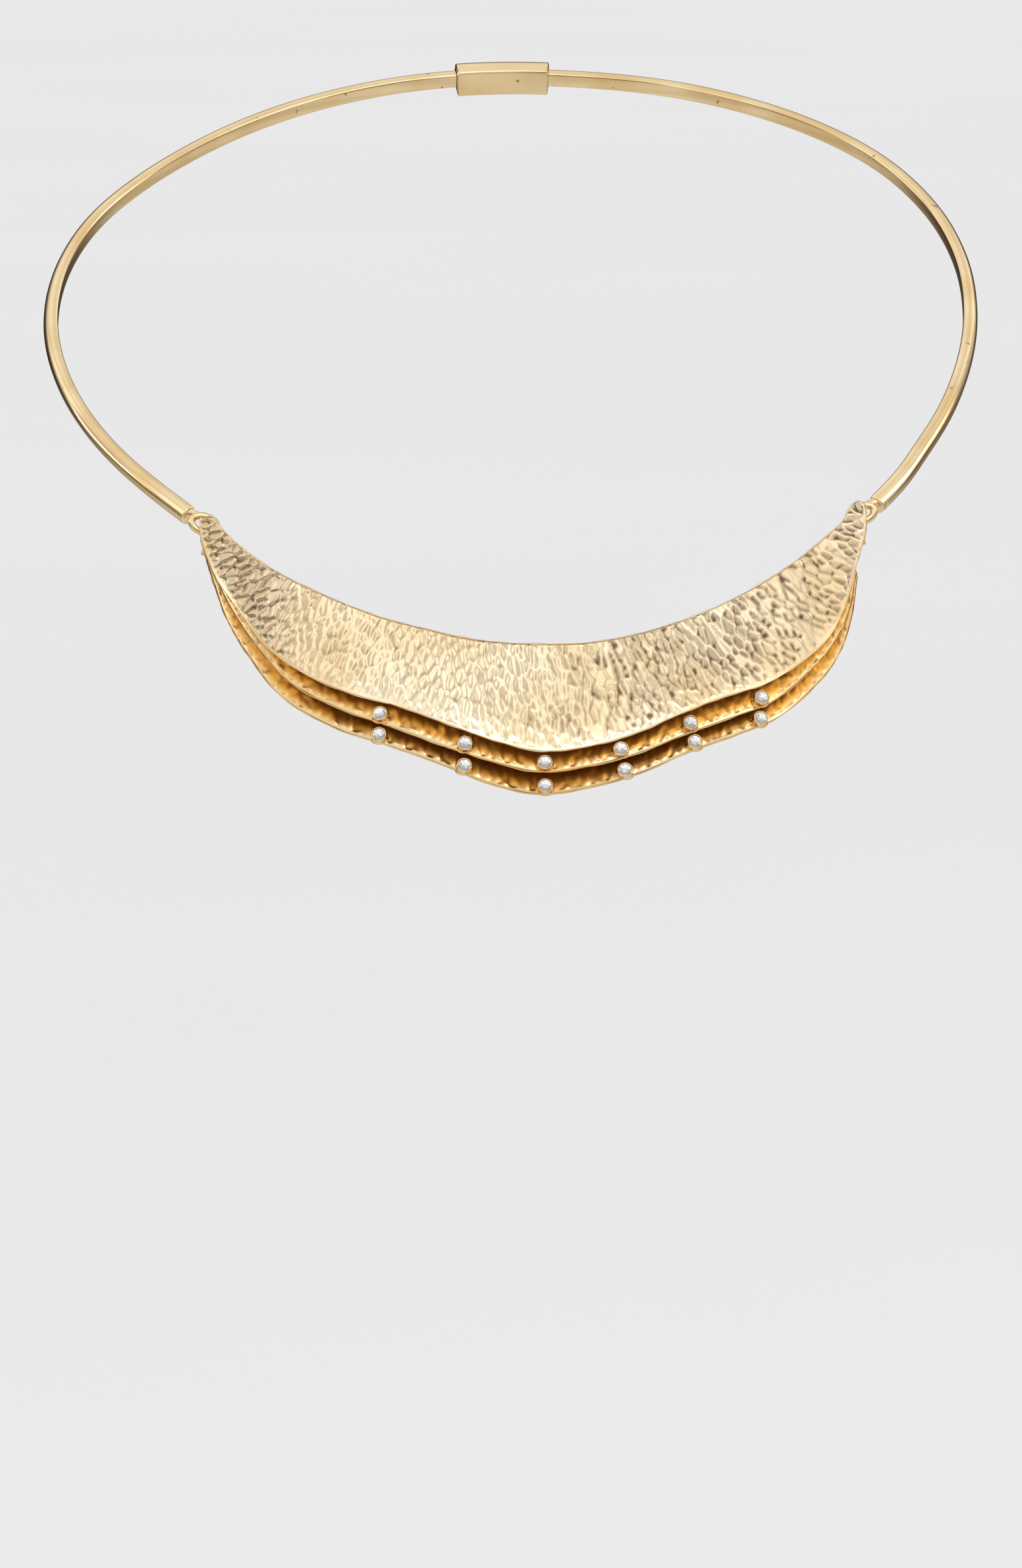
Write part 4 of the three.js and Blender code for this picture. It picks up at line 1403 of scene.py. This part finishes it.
@dataclass
class Studio:
    """Pale sweep, soft boxes and the camera."""

    floor_z: float = -0.34
    floor_reach: float = 14.0
    sweep: float = 2.5
    sweep_sides: int = 96
    wall: float = 6.0
    turn: float = math.radians(-2.0)
    rise: float = math.radians(7.5)
    roll: float = math.radians(-0.7)
    away: float = 1.4
    frame_high: float = 0.238
    sensor: float = 36.0
    target: tuple[float, float, float] = (-0.0021, -0.05919, -0.10294)
    lights: tuple[SoftBox, ...] = (
        SoftBox("hot_strip", 30.0, 60.0, 1.25, (1.1, 0.14), 3.6),
        SoftBox("left_box", 100.0, 30.0, 1.2, (0.5, 0.5), 1.35),
        SoftBox("right_box", -106.0, 15.0, 1.3, (0.5, 0.26), 3.0),
    )
    # Light of the room by the upward share of its direction: where soft boxes hang in front,
    # between them, and behind.
    box_room: tuple[tuple[float, tuple[float, float, float]], ...] = (
        (0.0, (0.78, 0.77, 0.75)), (0.34, (0.68, 0.66, 0.63)), (0.46, (0.52, 0.49, 0.44)),
        (0.54, (0.58, 0.56, 0.53)), (0.66, (1.12, 1.10, 1.07)), (0.80, (1.40, 1.38, 1.35)),
        (0.95, (1.0, 1.0, 1.0)), (1.0, (0.90, 0.90, 0.90)))
    gap_room: tuple[tuple[float, tuple[float, float, float]], ...] = (
        (0.0, (0.72, 0.71, 0.69)), (0.34, (0.54, 0.52, 0.48)), (0.46, (0.26, 0.22, 0.17)),
        (0.50, (0.10, 0.08, 0.06)), (0.56, (0.26, 0.24, 0.21)), (0.68, (0.52, 0.50, 0.47)),
        (0.82, (0.72, 0.70, 0.68)), (1.0, (0.90, 0.90, 0.90)))
    back_room: tuple[tuple[float, tuple[float, float, float]], ...] = (
        (0.0, (0.74, 0.73, 0.71)), (0.30, (0.52, 0.49, 0.45)), (0.42, (0.13, 0.10, 0.075)),
        (0.5, (0.035, 0.028, 0.022)), (0.62, (0.05, 0.04, 0.03)), (0.74, (0.22, 0.20, 0.18)),
        (0.86, (0.75, 0.75, 0.75)), (1.0, (0.86, 0.86, 0.86)))
    boxes_round: float = 8.0
    boxes_turn: float = 0.4
    front_bias: float = 0.1

    def build_sweep(self, paper: bpy.types.Material) -> bpy.types.Object:
        """Build the floor, which curves up into a wall far out all round."""
        bend = [(self.floor_reach - self.sweep + self.sweep * math.sin(t),
                 self.floor_z + self.sweep * (1 - math.cos(t))) for t in np.radians(np.linspace(0, 90, 9))]
        profile = [(0.01, self.floor_z), *bend, (self.floor_reach, self.wall)]
        many = self.sweep_sides
        around = np.linspace(0, 2 * math.pi, many, endpoint=False)
        rings = np.array([np.stack([r * np.cos(around), r * np.sin(around), np.full_like(around, z)], axis=-1)
                          for r, z in profile])
        faces = [[near + (j + 1) % many, near + many + (j + 1) % many, near + many + j, near + j]
                 for near in range(0, many * (len(profile) - 1), many) for j in range(many)]
        mesh = bpy.data.meshes.new("sweep")
        mesh.from_pydata(rings.reshape(-1, 3).tolist(), [], faces)
        mesh.materials.append(paper)
        mesh.shade_smooth()
        floor = bpy.data.objects.new("sweep", mesh)
        bpy.context.collection.objects.link(floor)
        floor.visible_glossy = False
        return floor

    def build_room(self) -> None:
        """Light the room by direction: pale in front, below and above, dark behind and aside."""
        world = bpy.data.worlds.new("room")
        book = NodeBook(world, "ShaderNodeBackground", "ShaderNodeOutputWorld")
        way = book.node("ShaderNodeTexCoord", {}, {}, output="Generated")
        side, depth, rise = (book.node("ShaderNodeSeparateXYZ", {}, {"Vector": way}, output=axis)
                             for axis in "XYZ")
        front = book.curve(side * self.front_bias - depth, -0.85, -0.35)
        turn = book.node("ShaderNodeMath", {"operation": "ARCTAN2"}, {0: side, 1: depth * -1.0})
        ripple = {0: turn * self.boxes_round + self.boxes_turn}
        wave = book.node("ShaderNodeMath", {"operation": "SINE"}, ripple)
        boxes = book.curve(wave, -0.6, 0.6)
        share = rise * 0.5 + 0.5
        lit = book.mix(boxes, book.ramp(share, *self.gap_room), book.ramp(share, *self.box_room))
        room = book.mix(front, book.ramp(share, *self.back_room), lit)
        book.finish(Color=room, Strength=1.0)
        bpy.context.scene.world = world

    def build_camera(self) -> None:
        """Set the camera at its viewing angle, a little rolled."""
        data = bpy.data.cameras.new("camera")
        data.sensor_width = self.sensor
        data.lens = self.sensor * self.away / self.frame_high
        data.clip_start, data.clip_end = 0.05, 60.0
        camera = bpy.data.objects.new("camera", data)
        back = Vector((math.sin(self.turn) * math.cos(self.rise), -math.cos(self.turn) * math.cos(self.rise),
                       math.sin(self.rise)))
        right = Vector((math.cos(self.turn), math.sin(self.turn), 0.0))
        up = back.cross(right)
        sin, cos = math.sin(self.roll), math.cos(self.roll)
        tilted_right, tilted_up = right * cos + up * sin, up * cos - right * sin
        turned = Matrix((tilted_right, tilted_up, back)).transposed().to_4x4()
        camera.matrix_world = Matrix.Translation(Vector(self.target) + back * self.away) @ turned
        bpy.context.collection.objects.link(camera)
        bpy.context.scene.camera = camera

    def build(self, paper: bpy.types.Material) -> None:
        """Build the whole studio."""
        self.build_sweep(paper)
        for light in self.lights:
            light.build(Vector(self.target))
        self.build_room()
        bpy.context.scene.view_settings.view_transform = "Standard"
        self.build_camera()


def main() -> None:
    """Build the necklace and its studio."""
    gold = PolishedGold().build()
    front_gold = HammeredGold("hammered_front").build()
    # Painted shade: the plates behind the front one get a warmer, darker gold, and amber where they lie under
    # the plate in front.
    shaded_deep_gold = HammeredGold("hammered_deep", pale=(0.95, 0.74, 0.42), warm=(0.88, 0.60, 0.26),
                             painted_shade_share=1.0).build()
    glass, foil = ClearCrystal().build(), SilverFoil().build()
    collar, bib = Collar(), Bib()
    for side in Side:
        collar.build_arm(side, gold)
    collar.build_sleeve(gold)
    bib.build_front(collar, front_gold)
    flutes = {"length": 2.3, "width": 1.15, "depth": 0.20, "step": 0.20, "strikes": 3600, "fade": 0.4}
    rows = (StoneRow(Layer.MIDDLE, "middle", (-23.2, -11.2, 0.2, 11.2, 21.4, 31.9), Marks(seed=52, **flutes)),
            StoneRow(Layer.BACK, "back", (-23.4, -11.4, 0.2, 11.8, 22.0, 31.7), Marks(seed=63, **flutes)))
    for row in rows:
        row.build(bib, shaded_deep_gold, glass, foil)
    Studio().build(PaleFloor().build())


if __name__ == "__main__":
    logging.basicConfig(level=logging.INFO, format="%(name)s: %(message)s")
    main()
